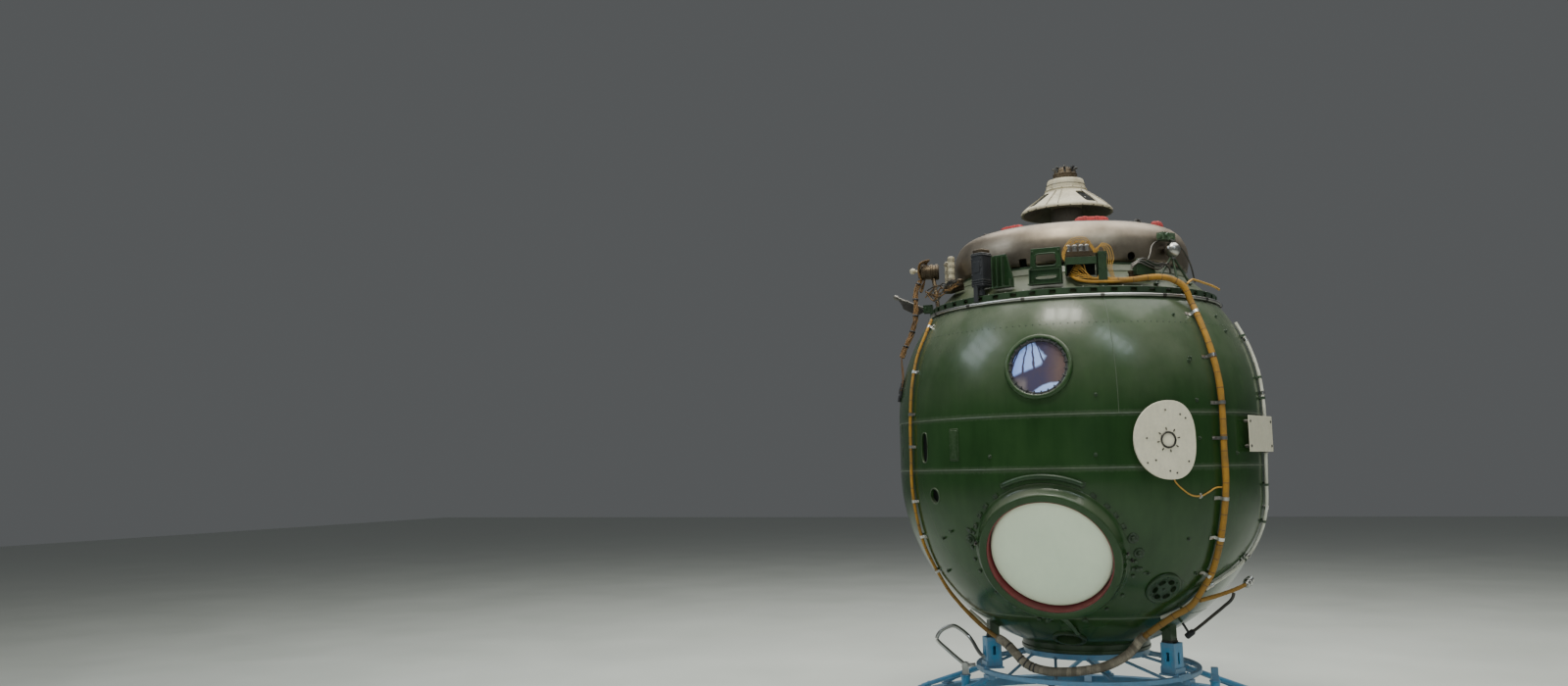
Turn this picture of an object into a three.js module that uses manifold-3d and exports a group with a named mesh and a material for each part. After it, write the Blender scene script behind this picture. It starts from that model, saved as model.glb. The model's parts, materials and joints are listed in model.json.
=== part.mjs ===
// Nearly spherical living module of a crewed spacecraft, with a docking probe on top, on a tube stand.
// Millimetres, +Z up. The origin is on the floor, on the module's axis. The side hatch faces -Y.
// An azimuth is in degrees from -Y towards +X. An elevation is in degrees above the horizontal.

import * as THREE from 'three';
import { mergeGeometries, mergeVertices } from 'three/addons/utils/BufferGeometryUtils.js';
import Module from 'manifold-3d';

const wasm = await Module();
wasm.setup();

// Driving dimensions of the hull.
const HULL_RADIUS = 1100;
const WALL = 30;
const BELT_HEIGHT = 290;
const LOWER_CENTRE = 1580;
const UPPER_CENTRE = LOWER_CENTRE + BELT_HEIGHT;
const INNER_RADIUS = HULL_RADIUS - WALL;
const GAP = 0.3;
const CLEAR = 2;
const ROUND = 48;

// Docking unit, from the deck up.
const FLANGE_RADIUS = 871;
const FLANGE_WALL = 6;
const FLANGE_TOP = 2592;
const TRIM_PIPE = 10;
const BASE_RADIUS = 690;
const BASE_TOP = 2757;
const RING_TOP = 3022;
const RING_MOUTH = 520;
const PLATE_TOP = 2900;
const BELL_BOTTOM = 3186;
const BELL_RADIUS = 285;
const NECK_BOTTOM = 3340;
const NECK_RADIUS = 116;
const NECK_TOP = 3408;
const HEAD_TOP = 3494;
const ROD_RADIUS = 34;

// Side hatch, in a frame whose origin is the lower centre and whose Z is the hatch's normal.
const HATCH_ELEVATION = -26.4;
const HATCH_FACE = 1098;
const HATCH_BORE = 342;
const HATCH_NECK = 372;
const HATCH_BACK = 1000;
const LID_RADIUS = 333;
const LID_FACE = 1046;
const LID_FLANGE = 358;
const HINGE_SIDE = 398;
const HINGE_DEPTH = 958;

// Ports and plates on the hull.
const PORTHOLE_ELEVATION = 14.2;
const GLASS_RADIUS = 160;
const PORTHOLE_RADIUS = 188;
const SENSOR_AZIMUTH = 35.1;
const SENSOR_RADIUS = 211;
const SENSOR_HEIGHT = 1722;
const VENT_AZIMUTH = 39;
const VENT_ELEVATION = -36.9;
const VENT_RADIUS = 104;
const LOWER_PORT_ELEVATION = -62.5;
const LOWER_PORT_RADIUS = 96;

// Lower frame and the stand that carries it.
const FRAME_RADIUS = 385;
const FRAME_BOTTOM = 495;
const SEAT_RADIUS = 355;
const STAND_RADIUS = 655;
const STAND_HEIGHT = 376;
const STAND_TUBE = 14;
const BASE_RING_RADIUS = 1170;
const BASE_RING_HEIGHT = 95;
const BASE_TUBE = 30;
const UPRIGHTS = { left: -57, right: 63, rear: 183 };
const BEAM_ENDS = { left: -80, right: 100 };
const LEG_AZIMUTHS = [-50, 10, 70, 130, 190, 250];

const rad = THREE.MathUtils.degToRad;

const paint = (name, color, roughness, metalness) => {
  const material = new THREE.MeshStandardMaterial({ color, roughness, metalness });
  material.name = name;
  return material;
};

const COLOURS = {
  green: [0x2c4a2c, 0.3, 0.1],
  deck: [0x93a583, 0.4, 0.1],
  darkGreen: [0x24402a, 0.4, 0.1],
  steel: [0xb9bab6, 0.3, 0.9],
  bareRing: [0x8c8378, 0.4, 0.8],
  cream: [0xe0d9bf, 0.5, 0.1],
  red: [0x8e2230, 0.5, 0.0],
  pale: [0xc3cdb6, 0.5, 0.0],
  glass: [0x5a66a0, 0.05, 0.0],
  white: [0xe9e8de, 0.5, 0.0],
  black: [0x1b1d1e, 0.5, 0.2],
  harness: [0xc98a2b, 0.7, 0.0],
  tape: [0x8d8474, 0.8, 0.0],
  blue: [0x4c8fc0, 0.45, 0.2],
  brown: [0x6e4a2e, 0.6, 0.1],
};

// Solids: clean closed meshes, joined and cut.
const toSolid = (geometry) => {
  let source = geometry.clone();
  source.deleteAttribute('normal');
  source.deleteAttribute('uv');
  source = mergeVertices(source, 1e-3);
  const index = Array.from(source.index.array);
  const position = source.attributes.position;
  const corner = [new THREE.Vector3(), new THREE.Vector3(), new THREE.Vector3()];
  const kept = [];
  let volume = 0;
  for (let i = 0; i < index.length; i += 3) {
    const [a, b, c] = index.slice(i, i + 3);
    if (a === b || b === c || c === a) continue;
    kept.push(a, b, c);
    [a, b, c].forEach((vertex, k) => corner[k].fromBufferAttribute(position, vertex));
    volume += corner[0].dot(corner[1].clone().cross(corner[2]));
  }
  if (volume < 0) kept.reverse();
  const mesh = new wasm.Mesh({
    numProp: 3,
    vertProperties: new Float32Array(position.array),
    triVerts: new Uint32Array(kept),
  });
  mesh.merge();
  return new wasm.Manifold(mesh);
};

const toGeometry = (solid) => {
  const mesh = solid.getMesh();
  const geometry = new THREE.BufferGeometry();
  geometry.setAttribute('position', new THREE.BufferAttribute(mesh.vertProperties, 3));
  geometry.setIndex(new THREE.BufferAttribute(mesh.triVerts, 1));
  return geometry;
};

const group = new THREE.Group();

const addMesh = (name, geometry, colour) => {
  const mesh = new THREE.Mesh(toGeometry(toSolid(geometry)), paint(name, ...COLOURS[colour]));
  mesh.name = name;
  group.add(mesh);
};

const join = (...geometries) => toGeometry(
  geometries.map(toSolid).reduce((whole, piece) => whole.add(piece)),
);

const cut = (geometry, ...tools) => toGeometry(
  tools.map(toSolid).reduce((whole, tool) => whole.subtract(tool), toSolid(geometry)),
);

const keep = (geometry, tool) => toGeometry(toSolid(geometry).intersect(toSolid(tool)));

// Shapes. A turned shape takes [radius, height] pairs and turns about Z.
const turned = (profile, segments = ROUND) => {
  const points = profile.map(([radius, height]) => new THREE.Vector2(radius, height));
  if (profile[0][0] > 0) points.push(points[0].clone());
  return new THREE.LatheGeometry(points, segments).rotateX(Math.PI / 2);
};

const arc = (radius, centre, from, to, steps) => Array.from({ length: steps + 1 }, (_, i) => {
  const angle = rad(from + ((to - from) * i) / steps);
  return [radius * Math.cos(angle), centre + radius * Math.sin(angle)];
});

const box = (width, depth, height, x = 0, y = 0, z = 0) => (
  new THREE.BoxGeometry(width, depth, height).translate(x, y, z)
);

const drum = (radius, low, high, segments = 24, top = radius) => turned(
  [[0, low], [radius, low], [top, high], [0, high]],
  segments,
);

const pipe = (radius, wall, low, high, segments = 32) => turned(
  [[radius - wall, low], [radius, low], [radius, high], [radius - wall, high]],
  segments,
);

const polar = (azimuth, radius, height) => new THREE.Vector3(
  radius * Math.sin(rad(azimuth)),
  -radius * Math.cos(rad(azimuth)),
  height,
);

// A tube through points, with flat closed ends.
const tube = (points, radius, sides = 8, steps = 24, closed = false) => {
  const ring = Array.from({ length: sides }, (_, i) => {
    const angle = (2 * Math.PI * i) / sides;
    return new THREE.Vector2(radius * Math.cos(angle), radius * Math.sin(angle));
  });
  const path = new THREE.CatmullRomCurve3(points, closed, 'centripetal');
  const shape = new THREE.Shape(ring);
  return new THREE.ExtrudeGeometry(shape, { extrudePath: path, steps, curveSegments: 1 });
};

const bar = (from, to, radius, sides = 8) => {
  const length = from.distanceTo(to);
  const direction = to.clone().sub(from).normalize();
  const turn = new THREE.Quaternion().setFromUnitVectors(new THREE.Vector3(0, 0, 1), direction);
  const shape = drum(radius, 0, length, sides);
  return shape.applyQuaternion(turn).translate(from.x, from.y, from.z);
};

// Local frame on the outside of the hull: X to the right, Y up, Z outwards from the centre.
const outward = (azimuth, elevation, centre, distance = 0) => {
  const a = rad(azimuth);
  const e = rad(elevation);
  const right = new THREE.Vector3(Math.cos(a), Math.sin(a), 0);
  const normal = new THREE.Vector3(
    Math.sin(a) * Math.cos(e),
    -Math.cos(a) * Math.cos(e),
    Math.sin(e),
  );
  const up = normal.clone().cross(right);
  const place = normal.clone().multiplyScalar(distance).add(new THREE.Vector3(0, 0, centre));
  return new THREE.Matrix4().makeBasis(right, up, normal).setPosition(place);
};

const ball = (radius, centre, segments = ROUND) => {
  const profile = arc(radius, centre, -90, 90, segments / 4);
  profile[0][0] = 0;
  profile[profile.length - 1][0] = 0;
  return turned(profile, segments);
};

const HATCH = outward(0, HATCH_ELEVATION, LOWER_CENTRE);
const VENT = outward(VENT_AZIMUTH, VENT_ELEVATION, LOWER_CENTRE);
const LOWER_PORT = outward(0, LOWER_PORT_ELEVATION, LOWER_CENTRE);
const PORTHOLES = [
  { name: 'front', azimuth: 0 },
  { name: 'rear', azimuth: 180 },
];
const portholeFrame = (azimuth) => outward(azimuth, PORTHOLE_ELEVATION, UPPER_CENTRE);

// Hull: a belt between two shells, each closed by a cap, met at the real seams.
const angleAt = (radius, sphere = HULL_RADIUS) => THREE.MathUtils.radToDeg(Math.acos(radius / sphere));
const DECK_SEAM = 866;
const CAP_SEAM = 714;

const shell = (centre, seam, from, to, steps) => turned([
  ...arc(HULL_RADIUS, centre, angleAt(from) * seam, angleAt(to) * seam, steps),
  ...arc(
    INNER_RADIUS,
    centre,
    angleAt(to * (INNER_RADIUS / HULL_RADIUS), INNER_RADIUS) * seam,
    angleAt(from * (INNER_RADIUS / HULL_RADIUS), INNER_RADIUS) * seam,
    Math.ceil(steps * 0.75),
  ),
]);

addMesh('lower_shell', cut(
  shell(LOWER_CENTRE - GAP, -1, HULL_RADIUS, CAP_SEAM, 6),
  drum(HATCH_NECK + 2.5, 800, 1300, 32).applyMatrix4(HATCH),
  drum(VENT_RADIUS - 17, 900, 1300, 16).applyMatrix4(VENT),
), 'green');

addMesh('bottom_cap', cut(
  shell(LOWER_CENTRE - 2 * GAP, -1, CAP_SEAM - 1, FRAME_RADIUS - 50, 3),
  drum(LOWER_PORT_RADIUS - 11, 900, 1300, 16).applyMatrix4(LOWER_PORT),
), 'green');

addMesh('belt_shell', pipe(HULL_RADIUS, WALL, LOWER_CENTRE, UPPER_CENTRE, ROUND), 'green');

const upperShell = cut(
  shell(UPPER_CENTRE + GAP, 1, HULL_RADIUS, DECK_SEAM, 5),
  ...PORTHOLES.map(({ azimuth }) => (
    drum(GLASS_RADIUS + 13, 900, 1300, 24).applyMatrix4(portholeFrame(azimuth))
  )),
);
addMesh('upper_shell', upperShell, 'green');

addMesh('top_deck', shell(UPPER_CENTRE + 2 * GAP, 1, DECK_SEAM - 1, BASE_RADIUS - 30, 2), 'deck');

// Perforated flange and the pipe below it.
const flangeFoot = UPPER_CENTRE + Math.sqrt(HULL_RADIUS ** 2 - (FLANGE_RADIUS - 6) ** 2) + 2;
const flange = turned([
  [FLANGE_RADIUS - FLANGE_WALL, flangeFoot],
  [FLANGE_RADIUS, flangeFoot],
  [FLANGE_RADIUS, FLANGE_TOP],
  [FLANGE_RADIUS - 34, FLANGE_TOP],
  [FLANGE_RADIUS - 34, FLANGE_TOP - FLANGE_WALL],
  [FLANGE_RADIUS - FLANGE_WALL, FLANGE_TOP - FLANGE_WALL],
]);
const SLOTS = { count: 48, width: 36, height: 24, middle: FLANGE_TOP - 20 };
const slot = drum(0.5, -30, 30, 8).scale(SLOTS.width, SLOTS.height, 1).rotateZ(rad(22.5)).rotateX(Math.PI / 2);
const slots = Array.from({ length: SLOTS.count }, (_, i) => (
  slot.clone().translate(0, -FLANGE_RADIUS, SLOTS.middle).rotateZ(rad((360 / SLOTS.count) * (i + 0.5)))
));
addMesh('top_flange', cut(flange, mergeGeometries(slots)), 'darkGreen');

const trimRadius = FLANGE_RADIUS + 16;
const trimHeight = UPPER_CENTRE + Math.sqrt((HULL_RADIUS + TRIM_PIPE + CLEAR) ** 2 - trimRadius ** 2);
const trimSection = Array.from({ length: 5 }, (_, i) => [
  trimRadius + TRIM_PIPE * Math.cos(rad(72 * i)),
  trimHeight + TRIM_PIPE * Math.sin(rad(72 * i)),
]);
addMesh('trim_ring', turned(trimSection), 'steel');

// Docking unit.
const deckAt = (radius) => UPPER_CENTRE + 2 * GAP + Math.sqrt(HULL_RADIUS ** 2 - radius ** 2);
addMesh('docking_base', turned([
  [BASE_RADIUS - 20, deckAt(BASE_RADIUS - 20) + 5],
  [BASE_RADIUS + 8, deckAt(BASE_RADIUS + 8) + 5],
  [BASE_RADIUS + 8, BASE_TOP],
  [BASE_RADIUS - 20, BASE_TOP],
], 36), 'darkGreen');

addMesh('docking_ring', turned([
  [RING_MOUTH + 60, BASE_TOP + GAP],
  [BASE_RADIUS, BASE_TOP + GAP],
  [BASE_RADIUS + 22, BASE_TOP + 30],
  [BASE_RADIUS + 30, BASE_TOP + 90],
  [BASE_RADIUS + 20, BASE_TOP + 155],
  [BASE_RADIUS - 12, BASE_TOP + 215],
  [BASE_RADIUS - 62, BASE_TOP + 252],
  [BASE_RADIUS - 110, RING_TOP],
  [RING_MOUTH, RING_TOP],
  [RING_MOUTH, RING_TOP - 60],
], 36), 'bareRing');

const ringInside = (height) => {
  const along = (height - BASE_TOP - GAP) / (RING_TOP - 60 - BASE_TOP - GAP);
  return RING_MOUTH + 60 * (1 - along);
};
addMesh('docking_plate', turned([
  [0, PLATE_TOP - 60],
  [150, PLATE_TOP - 60],
  [ringInside(PLATE_TOP - 40) - GAP, PLATE_TOP - 40],
  [ringInside(PLATE_TOP - 20) - GAP, PLATE_TOP - 20],
  [420, PLATE_TOP - 20],
  [300, PLATE_TOP],
  [0, PLATE_TOP],
], 36), 'darkGreen');

// Probe: a hollow drum carries the bell, and the rod slides out of its neck.
const bellSlots = Array.from({ length: 4 }, (_, i) => (
  box(120, 60, 90, 215, 0, BELL_BOTTOM + 70).rotateZ(rad(i * 90 + 30))
));
const bellWall = turned([
  [ROD_RADIUS + 6, PLATE_TOP + GAP],
  [130, PLATE_TOP + GAP],
  [130, PLATE_TOP + 30],
  [96, PLATE_TOP + 60],
  [96, BELL_BOTTOM + 40],
  [110, NECK_BOTTOM - 40],
  [200, BELL_BOTTOM + 45],
  [BELL_RADIUS - 12, BELL_BOTTOM],
  [BELL_RADIUS, BELL_BOTTOM],
  [BELL_RADIUS - 2, BELL_BOTTOM + 14],
  [BELL_RADIUS - 75, BELL_BOTTOM + 82],
  [NECK_RADIUS + 22, NECK_BOTTOM - 4],
  [NECK_RADIUS, NECK_BOTTOM + 10],
  [NECK_RADIUS - 16, NECK_TOP],
  [ROD_RADIUS + 6, NECK_TOP],
], 24);
addMesh('probe_bell', cut(bellWall, mergeGeometries(bellSlots)), 'cream');

addMesh('probe_head', turned([
  [0, PLATE_TOP + 60],
  [ROD_RADIUS, PLATE_TOP + 60],
  [ROD_RADIUS, NECK_TOP + 6],
  [76, NECK_TOP + 6],
  [76, NECK_TOP + 40],
  [64, NECK_TOP + 52],
  [60, HEAD_TOP - 18],
  [40, HEAD_TOP - 4],
  [0, HEAD_TOP],
], 20), 'steel');

// Side hatch: boss on the hull, red seat inside it, and a lid that swings inwards.
const onSphere = (radius, sphere = HULL_RADIUS + CLEAR) => [radius, Math.sqrt(sphere ** 2 - radius ** 2)];
addMesh('hatch_boss', turned([
  [HATCH_BORE + 3, HATCH_BACK],
  [HATCH_NECK, HATCH_BACK],
  onSphere(HATCH_NECK),
  onSphere(396),
  onSphere(420),
  [421, 1026],
  [404, 1040],
  [390, HATCH_FACE - 8],
  [382, HATCH_FACE],
  [HATCH_BORE + 3, HATCH_FACE],
], 36).applyMatrix4(HATCH), 'green');

addMesh('hatch_seat', turned([
  [HATCH_BORE - 3, HATCH_BACK + 2],
  [HATCH_BORE + 3 - GAP, HATCH_BACK + 2],
  [HATCH_BORE + 3 - GAP, HATCH_FACE - 8],
  [HATCH_BORE - 3, HATCH_FACE - 8],
], 36).applyMatrix4(HATCH), 'red');

const hingePin = (radius, half, sides) => drum(radius, -half, half, sides)
  .rotateX(Math.PI / 2).translate(HINGE_SIDE, 0, HINGE_DEPTH);
const hingeArm = cut(join(
  box(84, 60, 16, LID_FLANGE - 8, 0, HATCH_BACK - 32),
  hingePin(15, 60, 10),
  box(24, 60, 16, HINGE_SIDE - 8, 0, HINGE_DEPTH + 8),
), hingePin(9, 70, 10));
const lid = join(
  turned([
    [0, HATCH_BACK - 40],
    [LID_FLANGE - 18, HATCH_BACK - 40],
    [LID_FLANGE, HATCH_BACK - 26],
    [LID_FLANGE, HATCH_BACK - 1],
    [LID_RADIUS, HATCH_BACK - 1],
    [LID_RADIUS, LID_FACE - 14],
    [LID_RADIUS - 14, LID_FACE],
    [220, LID_FACE + 13],
    [110, LID_FACE + 20],
    [0, LID_FACE + 22],
  ], 36),
  hingeArm,
);
addMesh('hatch_lid', lid.applyMatrix4(HATCH), 'pale');

addMesh('hatch_hinge', keep(
  join(
    ...[-1, 1].map((side) => box(38, 32, 60, HINGE_SIDE + 8, side * 86, HINGE_DEPTH + 14)),
    box(8, 190, 26, HINGE_SIDE + 23, 0, HINGE_DEPTH),
    hingePin(7, 90, 8),
  ).applyMatrix4(HATCH),
  ball(INNER_RADIUS - 9, LOWER_CENTRE, 96),
), 'steel');

const onHatch = (angle, radius, height) => new THREE.Vector3(
  radius * Math.sin(rad(angle)),
  radius * Math.cos(rad(angle)),
  height,
).applyMatrix4(HATCH);
const hatchSurface = (radius) => Math.sqrt(HULL_RADIUS ** 2 - radius ** 2);
const ARCH_RADIUS = 452;
const ARCH_SPREAD = 29;
const archPoints = Array.from({ length: 9 }, (_, i) => {
  const angle = -ARCH_SPREAD + (i * ARCH_SPREAD) / 4;
  return onHatch(angle, ARCH_RADIUS, hatchSurface(ARCH_RADIUS) + 22);
});
const archFeet = [-ARCH_SPREAD + 2, 0, ARCH_SPREAD - 2].map((angle) => bar(
  onHatch(angle, ARCH_RADIUS, hatchSurface(ARCH_RADIUS) + 4),
  onHatch(angle, ARCH_RADIUS, hatchSurface(ARCH_RADIUS) + 22),
  10,
));
addMesh('hatch_arch', join(tube(archPoints, 15, 6, 12), ...archFeet), 'darkGreen');

// Portholes: a ring with a lip, and a pane inside it.
PORTHOLES.forEach(({ name, azimuth }) => {
  const place = portholeFrame(azimuth);
  addMesh(`${name}_porthole_ring`, turned([
    [GLASS_RADIUS + 1, 1040],
    [GLASS_RADIUS + 11, 1040],
    [GLASS_RADIUS + 11, 1088.5],
    [PORTHOLE_RADIUS, 1084.5],
    [PORTHOLE_RADIUS, 1094],
    [PORTHOLE_RADIUS - 10, 1106],
    [GLASS_RADIUS + 8, 1106],
    [GLASS_RADIUS + 1, 1098],
  ], 24).applyMatrix4(place), 'darkGreen');
  addMesh(`${name}_porthole_glass`, drum(GLASS_RADIUS, 1060, 1080, 24).applyMatrix4(place), 'glass');
});

// Sensor plate on the belt, on short posts, with a small window. Its right side is flattened.
const SENSOR = outward(SENSOR_AZIMUTH, 0, SENSOR_HEIGHT);
const SENSOR_MIDDLE = 8;
const SENSOR_SIDES = { left: { reach: 206, power: 2 }, right: { reach: 153, power: 2.5 } };
const sensorOutline = Array.from({ length: 32 }, (_, i) => {
  const angle = (2 * Math.PI * i) / 32;
  const { reach, power } = Math.cos(angle) < 0 ? SENSOR_SIDES.left : SENSOR_SIDES.right;
  const along = (value) => Math.sign(value) * Math.abs(value) ** (2 / power);
  return new THREE.Vector2(SENSOR_MIDDLE + reach * along(Math.cos(angle)), SENSOR_RADIUS * along(Math.sin(angle)));
});
const sensorDisc = cut(
  new THREE.ExtrudeGeometry(new THREE.Shape(sensorOutline), { depth: 12, bevelEnabled: false })
    .translate(0, 0, HULL_RADIUS + 14),
  drum(46, HULL_RADIUS, HULL_RADIUS + 60, 24),
);
const sensorPosts = [[-120, 90], [-120, -90], [110, 90], [110, -90]].map(([x, y]) => (
  drum(12, HULL_RADIUS - 30, HULL_RADIUS + 20, 8).translate(x, y, 0)
));
addMesh('sensor_plate', cut(
  join(sensorDisc, ...sensorPosts).applyMatrix4(SENSOR),
  turned([
    [0, 1000],
    ...arc(HULL_RADIUS + CLEAR, LOWER_CENTRE, -45, 0, 8),
    ...arc(HULL_RADIUS + CLEAR, UPPER_CENTRE, 0, 45, 8),
    [0, 2700],
  ], 96),
), 'white');
addMesh('sensor_window', turned([
  [0, HULL_RADIUS + 2],
  [45, HULL_RADIUS + 2],
  [45, HULL_RADIUS + 32],
  [30, HULL_RADIUS + 32],
  [28, HULL_RADIUS + 24],
  [0, HULL_RADIUS + 24],
], 24).applyMatrix4(SENSOR), 'black');

// Vent with a ring of oval holes.
const ventHoles = Array.from({ length: 6 }, (_, i) => (
  drum(21, 1060, 1200, 8).translate(56, 0, 0).rotateZ(rad(i * 60))
));
addMesh('vent_port', cut(
  turned([
    [0, 1074],
    [VENT_RADIUS - 21, 1074],
    [VENT_RADIUS - 21, 1099],
    [VENT_RADIUS, 1097],
    [VENT_RADIUS, 1106],
    [VENT_RADIUS - 8, 1112],
    [0, 1112],
  ], 24),
  mergeGeometries(ventHoles),
).applyMatrix4(VENT), 'darkGreen');

addMesh('lower_port', turned([
  [0, 1040],
  [LOWER_PORT_RADIUS - 15, 1040],
  [LOWER_PORT_RADIUS - 15, 1099],
  [LOWER_PORT_RADIUS, 1097],
  [LOWER_PORT_RADIUS, 1108],
  [LOWER_PORT_RADIUS - 22, 1108],
  [LOWER_PORT_RADIUS - 22, 1056],
  [0, 1056],
], 24).applyMatrix4(LOWER_PORT), 'darkGreen');

const PLATE_AZIMUTH = 74.2;
const PLATE_DISTANCE = 1125;
const plateFeet = [-170, 170].flatMap((x) => [1685, 1823].map((z) => (
  drum(9, HULL_RADIUS - 20, PLATE_DISTANCE, 8).rotateX(Math.PI / 2).translate(x, 0, z)
)));
addMesh('name_plate', cut(
  join(box(390, 4, 202, 0, -PLATE_DISTANCE, 1754), ...plateFeet).rotateZ(rad(PLATE_AZIMUTH)),
  drum(HULL_RADIUS + CLEAR, 1500, 2000, ROUND),
), 'white');

// Lower frame and its closed transfer hatch.
const hullBelow = (radius) => LOWER_CENTRE - Math.sqrt(HULL_RADIUS ** 2 - radius ** 2);
addMesh('lower_frame', turned([
  [FRAME_RADIUS - 50, FRAME_BOTTOM],
  [FRAME_RADIUS, FRAME_BOTTOM],
  [FRAME_RADIUS, hullBelow(FRAME_RADIUS) - CLEAR],
  [FRAME_RADIUS - 50, hullBelow(FRAME_RADIUS - 50) - CLEAR],
], 36), 'darkGreen');
addMesh('lower_hatch', turned([
  [0, FRAME_BOTTOM + 18],
  [FRAME_RADIUS - 50 - CLEAR, FRAME_BOTTOM + 18],
  [FRAME_RADIUS - 50 - CLEAR, FRAME_BOTTOM + 34],
  [0, FRAME_BOTTOM + 40],
], 36), 'pale');

// Equipment on the deck. A block stands at an azimuth and a radius, with its width along the rim.
const block = (azimuth, radius, width, depth, low, high) => (
  box(width, depth, high - low, 0, -radius, (high + low) / 2).rotateZ(rad(azimuth))
);
const post = (azimuth, radius, thick, low, high, sides = 12) => {
  const foot = polar(azimuth, radius, 0);
  return drum(thick, low, high, sides).translate(foot.x, foot.y, 0);
};

const CAMERA_AZIMUTH = -27;
addMesh('camera_box', join(
  block(CAMERA_AZIMUTH, 830, 88, 92, 2668, 2846),
  block(CAMERA_AZIMUTH, 830, 74, 78, 2840, 2874),
  post(CAMERA_AZIMUTH, 845, 26, deckAt(845 - 26) + CLEAR, 2670),
), 'black');

const bracketShape = new THREE.Shape([
  [-60, 0], [60, 0], [60, 40], [20, 170], [-60, 170],
].map(([x, y]) => new THREE.Vector2(x, y)));
bracketShape.holes.push(new THREE.Path([
  [-38, 30], [-38, 140], [6, 140], [34, 40],
].map(([x, y]) => new THREE.Vector2(x, y))));
const upright = (shape, thick) => (
  new THREE.ExtrudeGeometry(shape, { depth: thick, bevelEnabled: false }).rotateX(Math.PI / 2)
);
addMesh('camera_bracket', upright(bracketShape, 16)
  .translate(0, -770, deckAt(754) + CLEAR).rotateZ(rad(-16)), 'darkGreen');

const windowShape = new THREE.Shape([
  [-95, 0], [95, 0], [88, 205], [-78, 205],
].map(([x, y]) => new THREE.Vector2(x, y)));
windowShape.holes.push(new THREE.Path([
  [-58, 105], [-52, 180], [62, 180], [66, 105],
].map(([x, y]) => new THREE.Vector2(x, y))));
windowShape.holes.push(new THREE.Path([
  [-60, 32], [-60, 52], [66, 52], [66, 32],
].map(([x, y]) => new THREE.Vector2(x, y))));
addMesh('window_frame', upright(windowShape, 18)
  .translate(0, -775, deckAt(757) + CLEAR), 'darkGreen');

const SHELF_AZIMUTH = 14.5;
const SHELF_TOP = 2790;
const plugs = [-54, -18, 18, 50].map((side) => drum(15, SHELF_TOP + 10, SHELF_TOP + 56, 12)
  .translate(side, -770, 0).rotateZ(rad(SHELF_AZIMUTH - 2.5)));
addMesh('connector_shelf', join(
  block(SHELF_AZIMUTH, 770, 176, 90, SHELF_TOP - 12, SHELF_TOP),
  block(SHELF_AZIMUTH, 734, 176, 14, deckAt(727) + CLEAR, SHELF_TOP - 6),
  block(SHELF_AZIMUTH + 7.5, 770, 44, 70, deckAt(733) + CLEAR, SHELF_TOP + 26),
  block(SHELF_AZIMUTH - 2.5, 770, 140, 60, SHELF_TOP - 2, SHELF_TOP + 14),
  ...plugs,
), 'darkGreen');

addMesh('deck_box', block(42, 742, 120, 44, deckAt(720) + CLEAR, 2764), 'darkGreen');

const VALVE = polar(60, 770, 2838);
const valveFeet = [polar(46, 815, 0), polar(58, 822, 0), polar(70, 790, 0)];
addMesh('valve_unit', join(
  new THREE.SphereGeometry(40, 12, 8).rotateX(Math.PI / 2).translate(VALVE.x, VALVE.y, VALVE.z),
  drum(18, -60, 70, 12).translate(VALVE.x, VALVE.y, VALVE.z),
  block(58, 752, 110, 44, VALVE.z + 50, VALVE.z + 96),
  ...valveFeet.map((foot) => bar(
    new THREE.Vector3(foot.x, foot.y, deckAt(foot.length()) + 8),
    new THREE.Vector3(VALVE.x, VALVE.y, VALVE.z - 50),
    7,
  )),
), 'steel');

// Drive group on the left, with its valves, actuators and the folding antenna arm.
const DRIVE_AZIMUTH = -74;
const driveInner = polar(DRIVE_AZIMUTH, 820, 2850);
const driveOuter = polar(DRIVE_AZIMUTH, 950, 2850);
const driveFeet = [-68, -80].map((azimuth) => bar(
  polar(azimuth, 835, deckAt(828) + 4),
  polar(DRIVE_AZIMUTH, 860, 2850),
  14,
));
const driveBall = polar(DRIVE_AZIMUTH, 990, 2862);
addMesh('left_drive', join(
  bar(driveInner, driveOuter, 52, 12),
  bar(polar(DRIVE_AZIMUTH, 930, 2860), driveBall, 9),
  new THREE.SphereGeometry(20, 8, 6).translate(driveBall.x, driveBall.y, driveBall.z),
  ...driveFeet,
), 'darkGreen');

addMesh('left_valves', join(
  post(-56, 780, 24, 2700, 2905),
  post(-61, 785, 20, 2700, 2885),
  block(-58.5, 782, 100, 56, deckAt(745) + CLEAR, 2720),
  block(-50, 790, 150, 52, deckAt(755) + CLEAR, 2700),
  post(-44, 800, 24, 2690, 2735),
  post(-50, 800, 20, 2690, 2750),
), 'darkGreen');

const ARM_PIVOT = polar(-80, 915, 2622);
const ARM_TURN = rad(-80);
const armLocal = (geometry) => geometry.rotateZ(ARM_TURN).translate(ARM_PIVOT.x, ARM_PIVOT.y, ARM_PIVOT.z);
addMesh('antenna_bracket', join(
  ...[-1, 1].map((side) => box(8, 46, 52, side * 25, 6, 0)),
  box(58, 14, 94, 0, 36, -19),
).rotateZ(ARM_TURN).translate(ARM_PIVOT.x, ARM_PIVOT.y, ARM_PIVOT.z), 'darkGreen');
const armTip = new THREE.Vector3(0, -205, 92);
const bladeShape = new THREE.Shape([
  [10, 4], [190, 85], [150, 10], [60, -38],
].map(([x, y]) => new THREE.Vector2(x, y)));
const blade = new THREE.ExtrudeGeometry(bladeShape, { depth: 8, bevelEnabled: false })
  .translate(0, 0, -4).rotateX(Math.PI / 2).rotateZ(-Math.PI / 2);
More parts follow.
